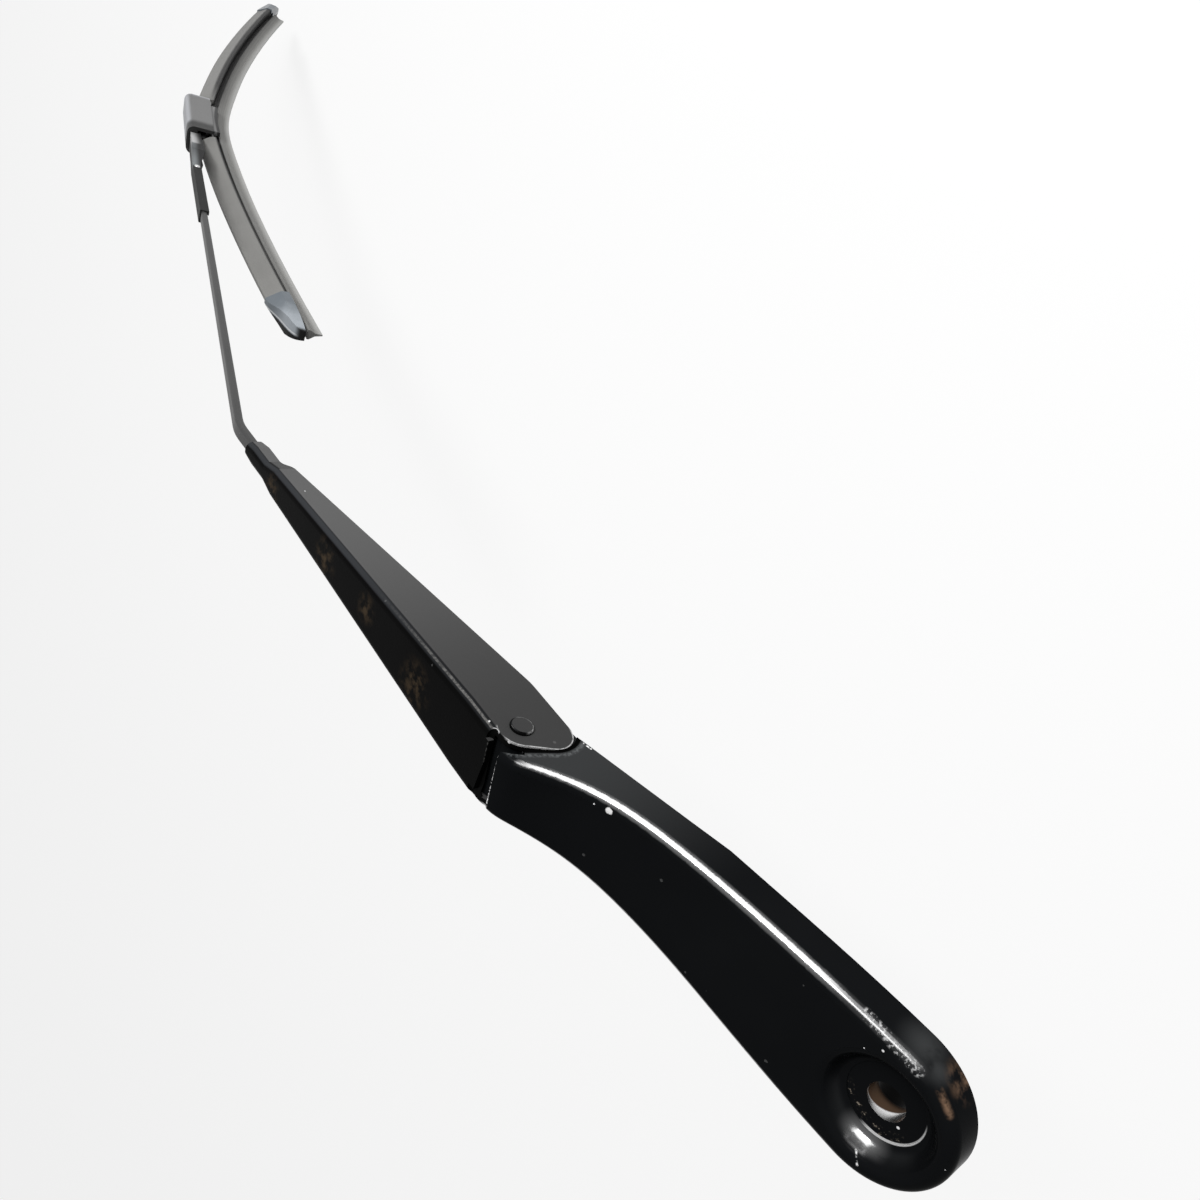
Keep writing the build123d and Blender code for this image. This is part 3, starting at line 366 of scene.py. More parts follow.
headPaint = {
    "shine": {"Specular IOR Level": 0.006, "Coat Roughness": 0.17, "Coat IOR": 2.0},
    "grain": 600.0, "fine": (1300.0, 3.0, 0.6), "bump": (0.03, 0.0002),
    "rough": (0.12, 0.16), "chipRough": 0.3,
    "dark": shade(0.0034, (0.92, 1.0, 1.12)),
    "cloudy": shade(0.0052, (0.92, 1.0, 1.1)),
    "shadow": shade(0.0006),
    "chipAndHighlight": shade(0.6),
    "scrape": shade(0.09, (0.95, 1.0, 1.02)),
    "rust": shade(0.05, (1.0, 0.62, 0.4)),
    "crumb": shade(0.3, (1.0, 0.86, 0.68)),
    "brown": shade(0.13, (1.0, 0.62, 0.4)),
    "paintedSheen": shade(0.026, (0.96, 1.0, 1.03)),
    "bareMetal": shade(0.82),
    "speck": shade(0.3), "specks": (330.0, 0.07), "speckShare": 0.12,
    "chips": [  # centre in millimetres, radius
        ((78.32, -9.64, 11.64), 1.0), ((81.9, -8.95, 12.8), 0.3),
        ((21.25, -15.81, 7.01), 0.3), ((6.13, -13.53, 8.0), 0.32), ((8.9, -10.61, 8.0), 0.15),
        ((-4.46, 2.62, 3.0), 0.36), ((-14.16, -3.0, 7.47), 0.12),
    ],
    "browned": [((-6.9, -15.6, 0.8), 5.0)], "brownedNoise": (0.38, 0.68),
    "streaks": [((-5.2, -15.2, 6.7), (-8.8, -12.9, 6.8), 1.15)],
    "streakNoise": (420.0, 3.0, 0.6), "streakFade": (0.36, 0.62),
    "sheened": [((1.5, -17.4, 2.8), 7.0), ((-3.0, -16.9, 4.5), 4.0)], "sheenedNoise": (0.0, 0.5),
    "scuffs": [((12.5, -16.3, 6.9), (-0.4, -15.7, 7.5), 1.4)], "scuffFine": (0.5, 0.64), "scuffShare": 0.5,
    "lines": [  # start, end, radius
        ((-1.59, 11.48, 6.78), (-3.4, 12.9, 7.97), 0.32),
        ((96.15, -12.01, 4.28), (93.63, -12.2, 4.0), 0.3),
        # painted highlight along the lip's edge, where the solid has no rounding
        ((104.8, -8.6, 22.9), (102.2, 8.6, 22.8), 0.25),
    ],
    "lineFine": (0.4, 0.6),
    "nearRidge": (0.0, -0.707, 0.707), "farRidge": (0.0, 0.707, 0.707), "ridgeTurn": (0.88, 0.96),
    "ridgeFaint": (0.014, 0.026, 0.25, 1.0), "ridgeStart": (-0.004, 0.003), "ridgeEnd": (0.101, 0.096),
    "ridgeRing": (0.0138, 0.0146),
    "earFlank": (0.0085, 0.0092), "gapShadow": (0.0, 0.0016, 0.0002),
    "scraped": (0.0019, 0.0029, 0.0004), "scrapeFine": (0.35, 0.65), "scrapeShare": 0.7,
    "lowWay": (0.0, 1.0, 0.0), "lowFade": (0.002, 0.006),
    "stepWay": (-0.8, 0.6, 0.0), "stepFade": (0.0036, 0.006),
    "seatRing": (0.0062, 0.0082, 0.0003), "seatZ": (0.0033, 0.0031),
    "crumbNoise": (1100.0, 4.0, 0.7), "crumbFade": (0.57, 0.66), "crumbShare": 0.6,
    "arcRing": (0.0083, 0.0086, 0.0001), "arcZ": (0.0042, 0.0038), "arcShare": 0.6,
    "boreRing": (0.0056, 0.0053), "boreZ": (0.00299, 0.00297), "boreShadowZ": (-0.0006, -0.0026),
    "bareEdge": (0.4, 0.0011), "bareFade": (-0.0002, 0.0003),
    "sideWay": (0.0, -0.99, 0.12), "sideTurn": (0.9, 0.99), "sideX": (0.045, 0.094),
    "tailRing": (0.0096, 0.011, 0.0008), "tailZ": (0.0032, 0.0042), "tailShare": 0.2,
    "glow": (-1.2, 10.3, 4.8), "glowFade": (0.0065, 0.001),
    "dishRing": (0.0118, 0.0106), "dishZ": (0.0032, 0.0035),
}


def makeHeadPaint():
    look = headPaint
    mat, tree = newMaterial("headGlossBlack")
    given = surface(tree)
    coords, normal = given["Object"], given["Normal"]
    grain = useGroup(tree, grainGroup, Vector=coords, Scale=look["grain"])
    fine = noiseNode(tree, coords, *look["fine"])
    place = splitXyz(tree, coords)
    flat = joinXyz(tree, X=place["X"], Y=place["Y"])
    ring = vectorNode(tree, "LENGTH", flat, (0.0, 0.0, 0.0))
    # chips, scuffs where the ridge runs round the spindle end, and a painted highlight line on the lip's
    # edge
    scuff = times(tree, lineMask(tree, coords, look["scuffs"]), fade(tree, fine, *look["scuffFine"]),
                  look["scuffShare"])
    lines = times(tree, lineMask(tree, coords, look["lines"]), fade(tree, fine, *look["lineFine"]))
    chips = most(tree, chipMask(tree, coords, look["chips"]), scuff, lines)
    specks = specksOn(tree, coords, *look["specks"])
    # painted shadow band beside the ears' edge, and scraped paint round the ears
    ear = useGroup(tree, earGroup, Vector=coords)
    flank = fade(tree, magnitude(tree, place["Y"]), *look["earFlank"])
    gapShadow = times(tree, band(tree, ear["Away"], *look["gapShadow"]), flank)
    scrape = times(tree, band(tree, ear["Away"], *look["scraped"]), flank,
                   fade(tree, fine, *look["scrapeFine"]))
    # rusty crumbs on the seat, a painted highlight on the step below the dish, bare and rusty bore with
    # painted shade deep inside
    lowSide = fade(tree, vectorNode(tree, "DOT_PRODUCT", flat, look["lowWay"]), *look["lowFade"])
    stepSide = fade(tree, vectorNode(tree, "DOT_PRODUCT", flat, look["stepWay"]), *look["stepFade"])
    seat = times(tree, band(tree, ring, *look["seatRing"]), fade(tree, place["Z"], *look["seatZ"]), lowSide)
    crumbs = times(tree, seat, fade(tree, noiseNode(tree, coords, *look["crumbNoise"]), *look["crumbFade"]))
    # painted highlight along the step's edge, on one side only
    arc = times(tree, band(tree, ring, *look["arcRing"]), fade(tree, place["Z"], *look["arcZ"]), stepSide)
    bore = times(tree, fade(tree, ring, *look["boreRing"]), fade(tree, place["Z"], *look["boreZ"]))
    edge = mathNode(tree, "MULTIPLY_ADD", place["X"], *look["bareEdge"])
    bare = times(tree, bore, fade(tree, mathNode(tree, "SUBTRACT", place["Z"], edge), *look["bareFade"]))
    # painted shade deep inside the bore
    boreShadow = times(tree, bore, fade(tree, place["Z"], *look["boreShadowZ"]))
    # painted sheen on the near flank, stronger towards the hinge, and a painted highlight tail in the dish;
    # brown stains at the spindle end
    side = facing(tree, normal, look["sideWay"], *look["sideTurn"])
    paintedSheen = times(tree, side, fade(tree, place["X"], *look["sideX"]))
    tail = times(tree, band(tree, ring, *look["tailRing"]), fade(tree, place["Z"], *look["tailZ"]), lowSide,
                 look["tailShare"])
    paintedSheen = most(tree, paintedSheen, patchMask(tree, coords, look["sheened"], *look["sheenedNoise"]), tail)
    streakNoise = noiseNode(tree, coords, *look["streakNoise"])
    streaks = times(tree, lineMask(tree, coords, look["streaks"], 0.0),
                    fade(tree, streakNoise, *look["streakFade"]))
    brown = most(tree, patchMask(tree, coords, look["browned"], *look["brownedNoise"]), streaks)
    # clear gloss on the two ridges and at one place in the dish
    ridge = facing(tree, normal, look["nearRidge"], *look["ridgeTurn"])
    farRidge = facing(tree, normal, look["farRidge"], *look["ridgeTurn"])
    ridges = times(tree, most(tree, ridge, farRidge), fade(tree, place["X"], *look["ridgeFaint"]),
                   fade(tree, place["X"], *look["ridgeStart"]), fade(tree, place["X"], *look["ridgeEnd"]),
                   fade(tree, ring, *look["ridgeRing"]))
    glow = vectorNode(tree, "DISTANCE", coords, millimetres(*look["glow"]))
    dish = times(tree, fade(tree, ring, *look["dishRing"]), fade(tree, place["Z"], *look["dishZ"]),
                 fade(tree, glow, *look["glowFade"]))
    coat = times(tree, most(tree, ridges, dish), without(tree, most(tree, chips, gapShadow)))
    shader = principled(tree, look["shine"])
    colour = blend(tree, grain["Cloud"], look["dark"], look["cloudy"])
    layers = [
        (paintedSheen, "paintedSheen"), (brown, "brown"), (times(tree, specks, look["speckShare"]), "speck"),
        (times(tree, scrape, look["scrapeShare"]), "scrape"), (gapShadow, "shadow"),
        (times(tree, crumbs, look["crumbShare"]), "crumb"), (times(tree, arc, look["arcShare"]), "chipAndHighlight"),
        (chips, "chipAndHighlight"), (bore, "rust"), (boreShadow, "shadow"), (bare, "bareMetal"),
    ]
    for mask, paint in layers:
        colour = blend(tree, mask, colour, look[paint])
    rough = cloudyRough(tree, grain, *look["rough"])
    rough = mathNode(tree, "MULTIPLY_ADD", chips, look["chipRough"], rough)
    closeFinish(tree, shader, look, colour, rough, grain["Height"])
    feed(tree, bare, shader.inputs["Metallic"])
    feed(tree, coat, shader.inputs["Coat Weight"])
    return mat


# satin black paint of the folded channel and its rivet, rubbed along the folds

channelPaint = {
    "shine": {"Specular IOR Level": 0.008},
    "grain": 1500.0, "fine": (1100.0, 3.0, 0.6), "rough": (0.12, 0.24), "bump": (0.1, 0.0003),
    "dark": shade(0.0016), "cloudy": shade(0.003), "brown": shade(0.038, (1.0, 0.7, 0.42)),
    "wearAndHighlight": shade(0.42), "rubbed": shade(0.1, (1.0, 0.98, 0.95)), "sheen": shade(0.026, (0.93, 0.99, 1.08)),
    "flank": shade(0.078),
    "speck": shade(0.3), "specks": (300.0, 0.08), "speckShare": 0.1,
    "chips": [((221.86, -5.79, 5.04), 0.3), ((112.6, -10.4, 20.15), 0.35), ((105.1, -10.3, 20.0), 0.45)],
    "patches": [
        ((235.0, 1.0, 7.75), 6.0), ((196.0, 0.5, 12.1), 8.0), ((170.0, -0.7, 15.1), 6.0),
        ((141.0, 2.0, 18.4), 9.0),
    ],
    "patchNoise": (0.42, 0.66), "topWay": (0.11, 0.0, 0.99), "topTurn": (0.8, 0.95),
    "webEdge": [((109.6, -8.5, 21.9), (106.8, 7.4, 22.2), 0.25)], "webFine": (0.4, 0.6), "webShare": 0.4,
    "outerY": (0.0101, 0.0104),
    "foldWay": (0.11, -0.81, 0.575), "foldTurn": (0.986, 0.997), "foldFine": (0.36, 0.6, 0.35, 1.0),
    "foldX": (0.172, 0.12), "sheenTurn": (0.9, 0.99), "sheenX": (0.12, 0.2, 0.4, 1.0),
    "arris": (-0.00028, 0.0003, 0.0001), "arrisSide": (0.003, 0.001), "arrisUp": (0.0062, 0.0055),
    "arrisFine": (0.3, 0.55, 0.35, 1.0), "arrisShare": 0.75,
    "joinedUp": (0.0015, 0.0025), "joinedAlong": (0.0018, 0.0028),
    "notch": (1.0, 7.5, 0.0), "notchBand": (0.00128, 0.0015, 0.00005), "notchUp": (0.008, 0.0074),
    "rimBand": (0.0026, 0.003, 0.0001), "rimUp": (0.001, -0.001), "rimY": (0.0109, 0.0112),
    "rimFine": (0.35, 0.6), "rimHighlightShare": 0.5,
    "flankTurn": (0.95, 0.99), "flankX": (0.1, 0.22, 0.4, 1.0),
}


def makeChannelPaint():
    look = channelPaint
    mat, tree = newMaterial("channelSatinBlack")
    given = surface(tree)
    coords, normal = given["Object"], given["Normal"]
    grain = useGroup(tree, grainGroup, Vector=coords, Scale=look["grain"])
    fine = noiseNode(tree, coords, *look["fine"])
    place = splitXyz(tree, coords)
    across = magnitude(tree, place["Y"])
    outer = fade(tree, across, *look["outerY"])
    specks = specksOn(tree, coords, *look["specks"])
    # paint rubbed through along the fold and the web's edge
    fold = facing(tree, normal, look["foldWay"], *look["foldTurn"])
    rubbed = times(tree, fold, fade(tree, fine, *look["foldFine"]), fade(tree, place["X"], *look["foldX"]))
    webEdge = times(tree, lineMask(tree, coords, look["webEdge"]), fade(tree, fine, *look["webFine"]))
    rubbed = most(tree, rubbed, times(tree, webEdge, look["webShare"]))
    # painted sheen: a bluish reflection band along the fold, stronger towards the tip
    sheen = facing(tree, normal, look["foldWay"], *look["sheenTurn"])
    sheen = times(tree, sheen, fade(tree, place["X"], *look["sheenX"]))
    # bright worn edges of the ears and of the notch above them, and a painted highlight on the lower half of
    # the rivet's rim
    ear = useGroup(tree, earGroup, Vector=coords)
    arris = times(tree, band(tree, ear["Away"], *look["arris"]), outer,
                  fade(tree, ear["Side"], *look["arrisSide"]), fade(tree, ear["Up"], *look["arrisUp"]))
    joined = times(tree, fade(tree, ear["Up"], *look["joinedUp"]),
                   fade(tree, ear["Along"], *look["joinedAlong"]))
    arris = times(tree, arris, without(tree, joined))
    fromHinge = joinXyz(tree, X=ear["Along"], Y=ear["Up"])
    notchAway = vectorNode(tree, "DISTANCE", fromHinge, millimetres(*look["notch"]))
    notch = times(tree, band(tree, notchAway, *look["notchBand"]), outer,
                  fade(tree, ear["Up"], *look["notchUp"]))
    arris = times(tree, most(tree, arris, notch), fade(tree, fine, *look["arrisFine"]))
    rivetAway = vectorNode(tree, "LENGTH", fromHinge, (0.0, 0.0, 0.0))
    rimHighlight = times(tree, band(tree, rivetAway, *look["rimBand"]), fade(tree, ear["Up"], *look["rimUp"]),
                fade(tree, across, *look["rimY"]), fade(tree, fine, *look["rimFine"]))
    wearAndHighlight = most(tree, chipMask(tree, coords, look["chips"]), times(tree, arris, look["arrisShare"]),
                times(tree, rimHighlight, look["rimHighlightShare"]))
    # brown patches on the upward-facing web; painted lighter tone on the side flanks, stronger towards the
    # tip
    top = facing(tree, normal, look["topWay"], *look["topTurn"])
    patches = times(tree, patchMask(tree, coords, look["patches"], *look["patchNoise"]), top)
    flank = fade(tree, magnitude(tree, splitXyz(tree, normal)["Y"]), *look["flankTurn"])
    flank = times(tree, flank, fade(tree, place["X"], *look["flankX"]))
    shader = principled(tree, look["shine"])
    colour = blend(tree, grain["Cloud"], look["dark"], look["cloudy"])
    layers = [
        (patches, "brown"), (flank, "flank"), (sheen, "sheen"),
        (times(tree, specks, look["speckShare"]), "speck"), (rubbed, "rubbed"), (wearAndHighlight, "wearAndHighlight"),
    ]
    for mask, paint in layers:
        colour = blend(tree, mask, colour, look[paint])
    closePlain(tree, shader, look, colour, grain)
    return mat


# black paint of the bar and of the carrier folded over its end, with painted highlights along the carrier's
# fold

barPaint = {
    "shine": {"Specular IOR Level": 0.14},
    "grain": 1200.0, "rough": (0.14, 0.34), "bump": (0.12, 0.0003),
    "dark": shade(0.028), "light": shade(0.046),
    "speck": shade(0.35), "specks": (420.0, 0.12), "speckShare": 0.2,
    "glints": [], "glintCloud": (0.25, 0.6, 0.6, 1.0),
}
carrierPaint = {
    **barPaint,
    "shine": {"Specular IOR Level": 0.02},
    "rough": (0.14, 0.4),
    "dark": shade(0.014), "light": shade(0.026),
    "glints": [  # start, end and radius of the bright fold, its colour
        # painted highlights along the carrier's fold
        ((574.0, -18.8, -121.4), (515.0, -17.6, -95.6), 3.6, shade(0.17, (0.94, 1.0, 1.03))),
        ((576.0, -18.7, -121.8), (554.0, -19.4, -112.8), 5.0, shade(0.36)),
    ],
}


def makeBarPaint(name, look):
    mat, tree = newMaterial(name)
    coords = surface(tree)["Object"]
    grain = useGroup(tree, grainGroup, Vector=coords, Scale=look["grain"])
    specks = specksOn(tree, coords, *look["specks"])
    shader = principled(tree, look["shine"])
    colour = blend(tree, grain["Cloud"], look["dark"], look["light"])
    colour = blend(tree, times(tree, specks, look["speckShare"]), colour, look["speck"])
    # painted highlights along each given line
    for start, end, radius, gleam in look["glints"]:
        glint = times(tree, lineMask(tree, coords, [(start, end, radius)], 0.0),
                      fade(tree, grain["Cloud"], *look["glintCloud"]))
        colour = blend(tree, glint, colour, gleam)
    closePlain(tree, shader, look, colour, grain)
    return mat


# bare steel of pins and rivets, darker spring steel

steelLook = {
    "shine": {"Metallic": 1.0},
    "grain": 900.0, "rough": (0.2, 0.22), "bump": (0.1, 0.0002), "bright": 0.7, "dullShare": 0.7,
}
springLook = {**steelLook, "rough": (0.2, 0.34), "bright": 0.3}


def makeSteel(name, look):
    mat, tree = newMaterial(name)
    coords = surface(tree)["Object"]
    grain = useGroup(tree, grainGroup, Vector=coords, Scale=look["grain"])
    shader = principled(tree, look["shine"])
    colour = blend(tree, grain["Cloud"], shade(look["bright"] * look["dullShare"]), shade(look["bright"]))
    closePlain(tree, shader, look, colour, grain)
    return mat


# grained housing plastic: painted highlight on top and at the far end, painted shade at the end the carrier
# enters and along the bottom

housingLook = {
    "shine": {"Specular IOR Level": 0.2},
    "grain": 1300.0, "rough": (0.16, 0.36), "bump": (0.3, 0.0003),
    "dark": shade(0.095), "light": shade(0.135), "rimHighlight": shade(0.38, (0.96, 0.98, 1.05)),
    "shaded": shade(0.012),
    "speck": shade(0.3), "specks": (420.0, 0.2), "speckShare": 0.2,
    "topTurn": (0.25, 0.85), "farTurn": (0.2, 0.6), "farAlong": (0.0175, 0.0215), "rimHighlightShare": 0.75,
    "ragged": 0.004, "shadeAlong": (-0.0145, -0.0215), "shadeHeight": (-0.0088, -0.0098), "paintedShade": 0.95,
}
holderLook = {**housingLook, "dark": shade(0.13), "light": shade(0.18), "rimHighlight": shade(0.24), "paintedShade": 0.0}


def makeHousing(name, look):
    mat, tree = newMaterial(name)
    given = surface(tree)
    coords, normal = given["Object"], given["Normal"]
    grain = useGroup(tree, grainGroup, Vector=coords, Scale=look["grain"])
    specks = specksOn(tree, coords, *look["specks"])
    section = useGroup(tree, bladeGroup, Vector=coords)
    # painted highlight on upward faces and at the far end
    top = facing(tree, normal, bladeFrame["up"], *look["topTurn"])
    farEnd = facing(tree, normal, bladeFrame["along"], *look["farTurn"])
    rimHighlight = most(tree, top, farEnd, fade(tree, section["Along"], *look["farAlong"]))
    # painted shade at the end the carrier enters and along the bottom
    ragged = mathNode(tree, "MULTIPLY_ADD", grain["Cloud"], look["ragged"], section["Along"])
    paintedShade = times(tree, fade(tree, ragged, *look["shadeAlong"]), look["paintedShade"])
    paintedShade = most(tree, paintedShade, fade(tree, section["Height"], *look["shadeHeight"]))
    shader = principled(tree, look["shine"])
    colour = blend(tree, grain["Cloud"], look["dark"], look["light"])
    colour = blend(tree, times(tree, specks, look["speckShare"]), colour, look["speck"])
    colour = blend(tree, times(tree, rimHighlight, look["rimHighlightShare"]), colour, look["rimHighlight"])
    colour = blend(tree, paintedShade, colour, look["shaded"])
    closePlain(tree, shader, look, colour, grain)
    return mat


# matt spoiler rubber: painted shade towards its groove, deeper on the far half, and a painted lighter tone
# on the far half

spoilerLook = {
    "shine": {"Specular IOR Level": 0.2},
    "grain": 1500.0, "rough": (0.12, 0.5), "bump": (0.35, 0.0003),
    "dark": shade(0.12, (1.0, 0.99, 0.95)), "light": shade(0.165, (1.0, 0.99, 0.95)), "paintedShade": shade(0.012),
    "speck": shade(0.08), "specks": (380.0, 0.22), "speckShare": 0.18,
    "farAlong": (0.01, 0.06), "farLit": shade(0.3), "farLitShare": 0.15,
    "nearShade": (-0.0071, -0.0081), "farShade": (-0.0048, -0.0066), "farShadeShare": 0.95,
}


def makeSpoiler():
    look = spoilerLook
    mat, tree = newMaterial("spoilerRubber")
    coords = surface(tree)["Object"]
    grain = useGroup(tree, grainGroup, Vector=coords, Scale=look["grain"])
    specks = specksOn(tree, coords, *look["specks"])
    section = useGroup(tree, bladeGroup, Vector=coords)
    # painted lighter tone on the far half, painted shade towards the groove
    farHalf = fade(tree, section["Along"], *look["farAlong"])
    nearShade = fade(tree, section["Height"], *look["nearShade"])
    farShade = times(tree, fade(tree, section["Height"], *look["farShade"]), farHalf, look["farShadeShare"])
    shader = principled(tree, look["shine"])
    colour = blend(tree, grain["Cloud"], look["dark"], look["light"])
    colour = blend(tree, times(tree, farHalf, look["farLitShare"]), colour, look["farLit"])
    colour = blend(tree, times(tree, specks, look["speckShare"]), colour, look["speck"])
    colour = blend(tree, most(tree, nearShade, farShade), colour, look["paintedShade"])
    closePlain(tree, shader, look, colour, grain)
    return mat


# wiping rubber: painted shade on the neck, striped grey flanks, pale lip, painted shade towards the neck on
# the far half

wipingLook = {
    "shine": {"Specular IOR Level": 0.2},
    "grain": 1500.0, "rough": (0.12, 0.48), "bump": (0.25, 0.0002),
    "neckShade": shade(0.04), "flank": shade(0.15, (1.0, 0.99, 0.93)), "lip": shade(0.26, (1.0, 1.0, 0.97)),
    "paintedShade": shade(0.008),
    "stripe": shade(0.08), "stripePitch": 5200.0, "stripeRange": (0.5, 0.5), "stripeShare": 0.35,
    "stripeHeight": 0.6, "cloud": shade(0.13), "cloudShare": 0.3,
    "lipHeight": (-0.0148, -0.0182), "neckHeight": (-0.0118, -0.0104),
    "farAlong": (0.01, 0.06), "farHeight": (-0.0152, -0.0094),
}


def makeWiping():
    look = wipingLook
    mat, tree = newMaterial("wipingRubber")
    coords = surface(tree)["Object"]
    grain = useGroup(tree, grainGroup, Vector=coords, Scale=look["grain"])
    section = useGroup(tree, bladeGroup, Vector=coords)
    stripes = mathNode(tree, "SINE", times(tree, section["Height"], look["stripePitch"]))
    stripes = mathNode(tree, "MULTIPLY_ADD", stripes, *look["stripeRange"])
    lip = fade(tree, section["Height"], *look["lipHeight"])
    # painted shade on the neck in the groove
    neckShade = fade(tree, section["Height"], *look["neckHeight"])
    # painted shade towards the neck on the far half
    paintedShade = times(tree, fade(tree, section["Along"], *look["farAlong"]),
                  fade(tree, section["Height"], *look["farHeight"]))
    shader = principled(tree, look["shine"])
    colour = blend(tree, times(tree, stripes, look["stripeShare"]), look["flank"], look["stripe"])
    colour = blend(tree, times(tree, grain["Cloud"], look["cloudShare"]), colour, look["cloud"])
    for mask, paint in ((lip, "lip"), (neckShade, "neckShade"), (paintedShade, "paintedShade")):
        colour = blend(tree, mask, colour, look[paint])
    height = mathNode(tree, "MULTIPLY_ADD", stripes, look["stripeHeight"], grain["Height"])
    closeFinish(tree, shader, look, colour, cloudyRough(tree, grain, *look["rough"]), height)
    return mat


# end caps: painted bluish sheen on the face and top with a painted highlight line along the edge, black far
# edge and nose

endLook = {
    "shine": {"Specular IOR Level": 0.08, "Coat Roughness": 0.15},
    "grain": 1100.0, "rough": (0.16, 0.24), "bump": (0.15, 0.0002),
    "edge": shade(0.006), "face": shade(0.11, (0.88, 1.0, 1.12)), "paintedSheen": shade(0.27, (0.92, 1.0, 1.08)),
    "line": shade(0.6), "lineAcross": (0.0004, 0.0011, 0.0002), "lineShare": 0.6,
    "faceAcross": (0.0019, 0.0012), "faceAlong": (-0.2232, -0.2212),
    "streaks": (150.0, 3.0), "streakReach": 0.012, "tipAlong": (-0.197, -0.212), "coatShare": 0.6,
}


def makeEndCap():
    look = endLook
    mat, tree = newMaterial("endCapPlastic")
    coords = surface(tree)["Object"]
    grain = useGroup(tree, grainGroup, Vector=coords, Scale=look["grain"])
    section = useGroup(tree, bladeGroup, Vector=coords)
    face = times(tree, fade(tree, section["Across"], *look["faceAcross"]),
                 fade(tree, section["Along"], *look["faceAlong"]))
    streaks = noiseNode(tree, coords, *look["streaks"])
    shader = principled(tree, look["shine"])
    ragged = mathNode(tree, "MULTIPLY_ADD", streaks, look["streakReach"], section["Along"])
    # painted bluish sheen on the face, lighter towards the tip
    sheened = blend(tree, fade(tree, ragged, *look["tipAlong"]), look["face"], look["paintedSheen"])
    # painted highlight line along the edge
    line = times(tree, band(tree, section["Across"], *look["lineAcross"]), look["lineShare"])
    sheened = blend(tree, line, sheened, look["line"])
    colour = blend(tree, face, look["edge"], sheened)
    closePlain(tree, shader, look, colour, grain)
    feed(tree, times(tree, streaks, face, look["coatShare"]), shader.inputs["Coat Weight"])
    return mat


finishes = {
    makeHeadPaint(): ["arm_head"],
    makeChannelPaint(): ["arm_channel", "hinge_rivet"],
    makeBarPaint("barSatinBlack", barPaint): ["arm_rod"],
    makeBarPaint("carrierGlossBlack", carrierPaint): ["tip_fitting"],
    makeSteel("bareSteel", steelLook): ["hinge_bush", "spring_anchor_pin", "fitting_rivet", "connector_pin"],
    makeSteel("springSteel", springLook): ["spring_hook", "tension_spring", "spine_rail_left",
                                           "spine_rail_right"],
    makeHousing("housingPlastic", housingLook): ["adapter_cap", "release_button"],
    makeHousing("holderPlastic", holderLook): ["connector_base"],
    makeSpoiler(): ["spoiler_near", "spoiler_far"],
    makeWiping(): ["wiper_rubber"],
    makeEndCap(): ["end_cap_near", "end_cap_far"],
}
for finish, names in finishes.items():
    for name in names:
        nodes[name].data.materials.clear()
        nodes[name].data.materials.append(finish)
print("finishes on", sum(len(names) for names in finishes.values()), "nodes")


# floor, world, lamps and camera

studio = {
    "floorZ": -0.33, "floorSize": 12.0, "floorColour": shade(0.85), "floorGlow": 0.85,
    "worldGrey": 0.05, "worldSeen": 0.92,
    "lamps": {  # place, aim, width and height in metres, watts
        "keyLight": ((0.25, -1.1, 1.25), (0.05, 0.0, 0.0), (0.55, 0.32), 20.0),
        "bladeLight": ((0.2, -0.9, 0.6), (0.6, -0.02, -0.14), (0.8, 0.6), 14.0),
    },
}


def seenRays(tree):
    path = addNode(tree, "ShaderNodeLightPath").outputs
    return most(tree, path["Is Camera Ray"], path["Is Glossy Ray"], path["Is Transmission Ray"])


def showMix(tree, share, first, second, outKind):
    mix = addNode(tree, "ShaderNodeMixShader")
    for socket, value in zip(mix.inputs, (share, first, second)):
        feed(tree, value, socket)
    feed(tree, mix.outputs["Shader"], addNode(tree, outKind).inputs["Surface"])


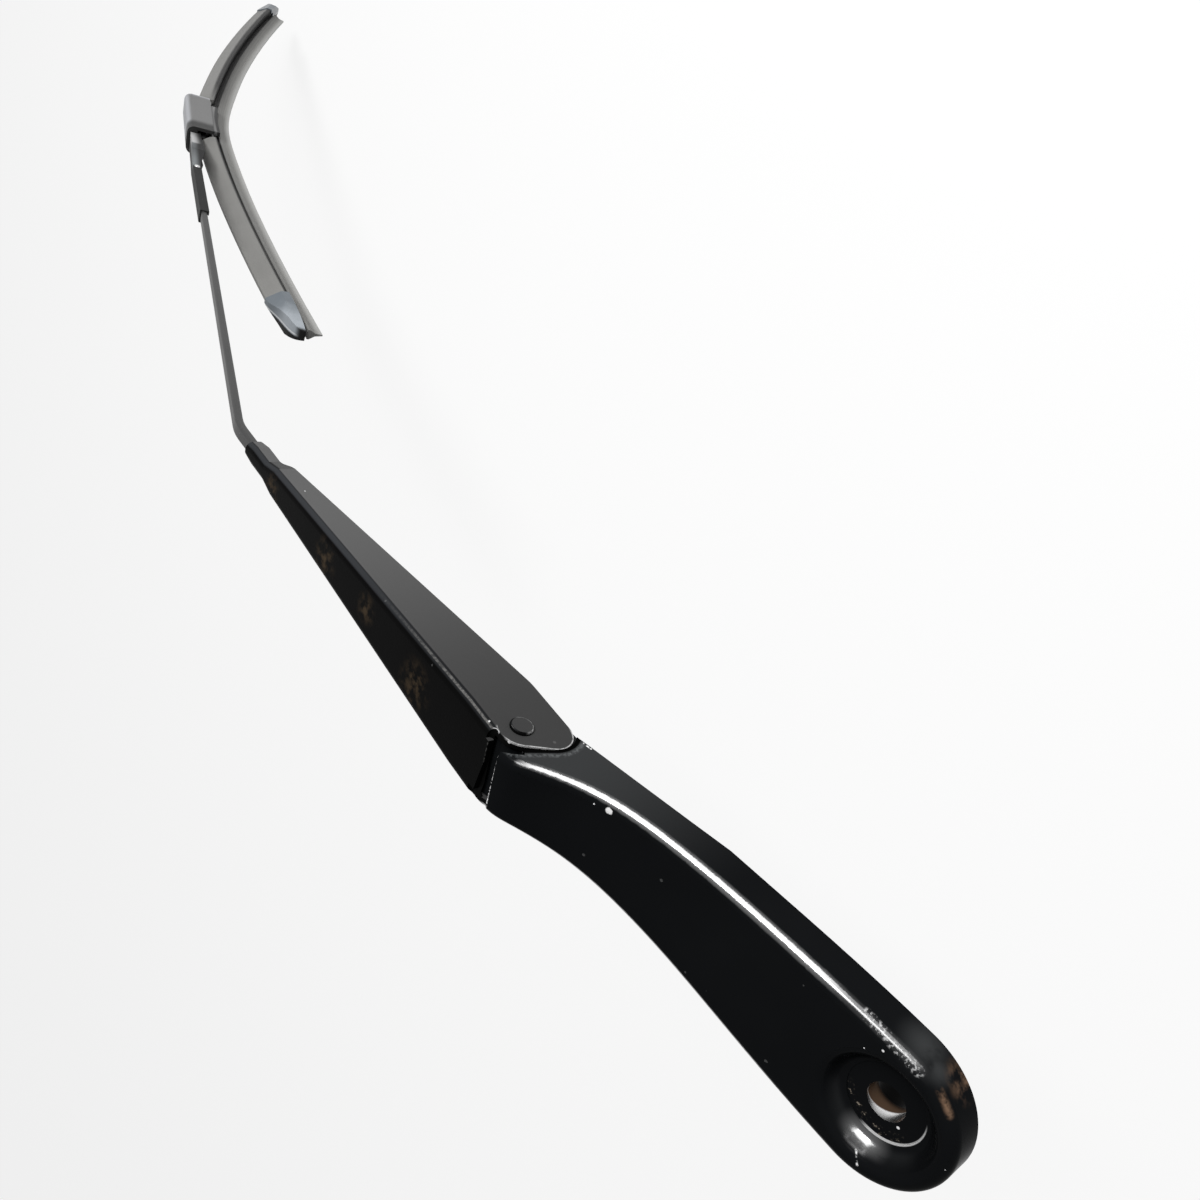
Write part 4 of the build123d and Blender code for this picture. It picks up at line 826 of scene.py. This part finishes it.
def makeFloor():
    bpy.ops.object.select_all(action="DESELECT")
    bpy.ops.mesh.primitive_plane_add(size=studio["floorSize"], location=(0.0, 0.0, studio["floorZ"]))
    floor = bpy.context.object
    floor.name = "studioFloor"
    mat, tree = newMaterial("floorWhite")
    paint = addNode(tree, "ShaderNodeBsdfDiffuse")
    paint.inputs["Color"].default_value = studio["floorColour"]
    glow = addNode(tree, "ShaderNodeEmission")
    share = times(tree, seenRays(tree), studio["floorGlow"])
    showMix(tree, share, paint.outputs["BSDF"], glow.outputs["Emission"], "ShaderNodeOutputMaterial")
    floor.data.materials.append(mat)


def addBackground(tree, strength):
    node = addNode(tree, "ShaderNodeBackground")
    node.inputs["Strength"].default_value = strength
    node.inputs["Color"].default_value = shade(1.0)
    return node.outputs["Background"]


def makeWorld():
    world = bpy.data.worlds.new("studioWorld")
    world.use_nodes = True
    tree = world.node_tree
    tree.nodes.clear()
    lit = addBackground(tree, studio["worldGrey"])
    pale = addBackground(tree, studio["worldSeen"])
    showMix(tree, seenRays(tree), lit, pale, "ShaderNodeOutputWorld")
    bpy.context.scene.world = world


def addSoftbox(name, place, aim, size, watts):
    lamp = bpy.data.lights.new(name, "AREA")
    lamp.shape = "RECTANGLE"
    lamp.size, lamp.size_y = size
    lamp.energy = watts
    box = bpy.data.objects.new(name, lamp)
    bpy.context.scene.collection.objects.link(box)
    box.location = place
    box.rotation_euler = (Vector(aim) - Vector(place)).to_track_quat("-Z", "Y").to_euler()


# the photograph's place, direction and lens
view = {
    "place": (0.00464, -0.15251, 0.1598),
    "right": (-0.6619, -0.3382, -0.669),
    "ahead": (0.4797, 0.4946, -0.7247),
    "lens": 28.454, "sensor": 36.0, "nearest": 0.01,
}


def addCamera():
    lens = bpy.data.cameras.new("photoCamera")
    lens.sensor_width = view["sensor"]
    lens.lens = view["lens"]
    lens.clip_start = view["nearest"]
    camera = bpy.data.objects.new("photoCamera", lens)
    bpy.context.scene.collection.objects.link(camera)
    right = Vector(view["right"]).normalized()
    ahead = Vector(view["ahead"])
    ahead = (ahead - right * ahead.dot(right)).normalized()
    turn = Matrix((right, right.cross(ahead), -ahead)).transposed().to_4x4()
    camera.matrix_world = Matrix.Translation(view["place"]) @ turn
    bpy.context.scene.camera = camera


makeFloor()
makeWorld()
for lampName, lampSettings in studio["lamps"].items():
    addSoftbox(lampName, *lampSettings)
addCamera()
bpy.context.scene.view_settings.view_transform = "Standard"
print("floor, lamps and camera set")
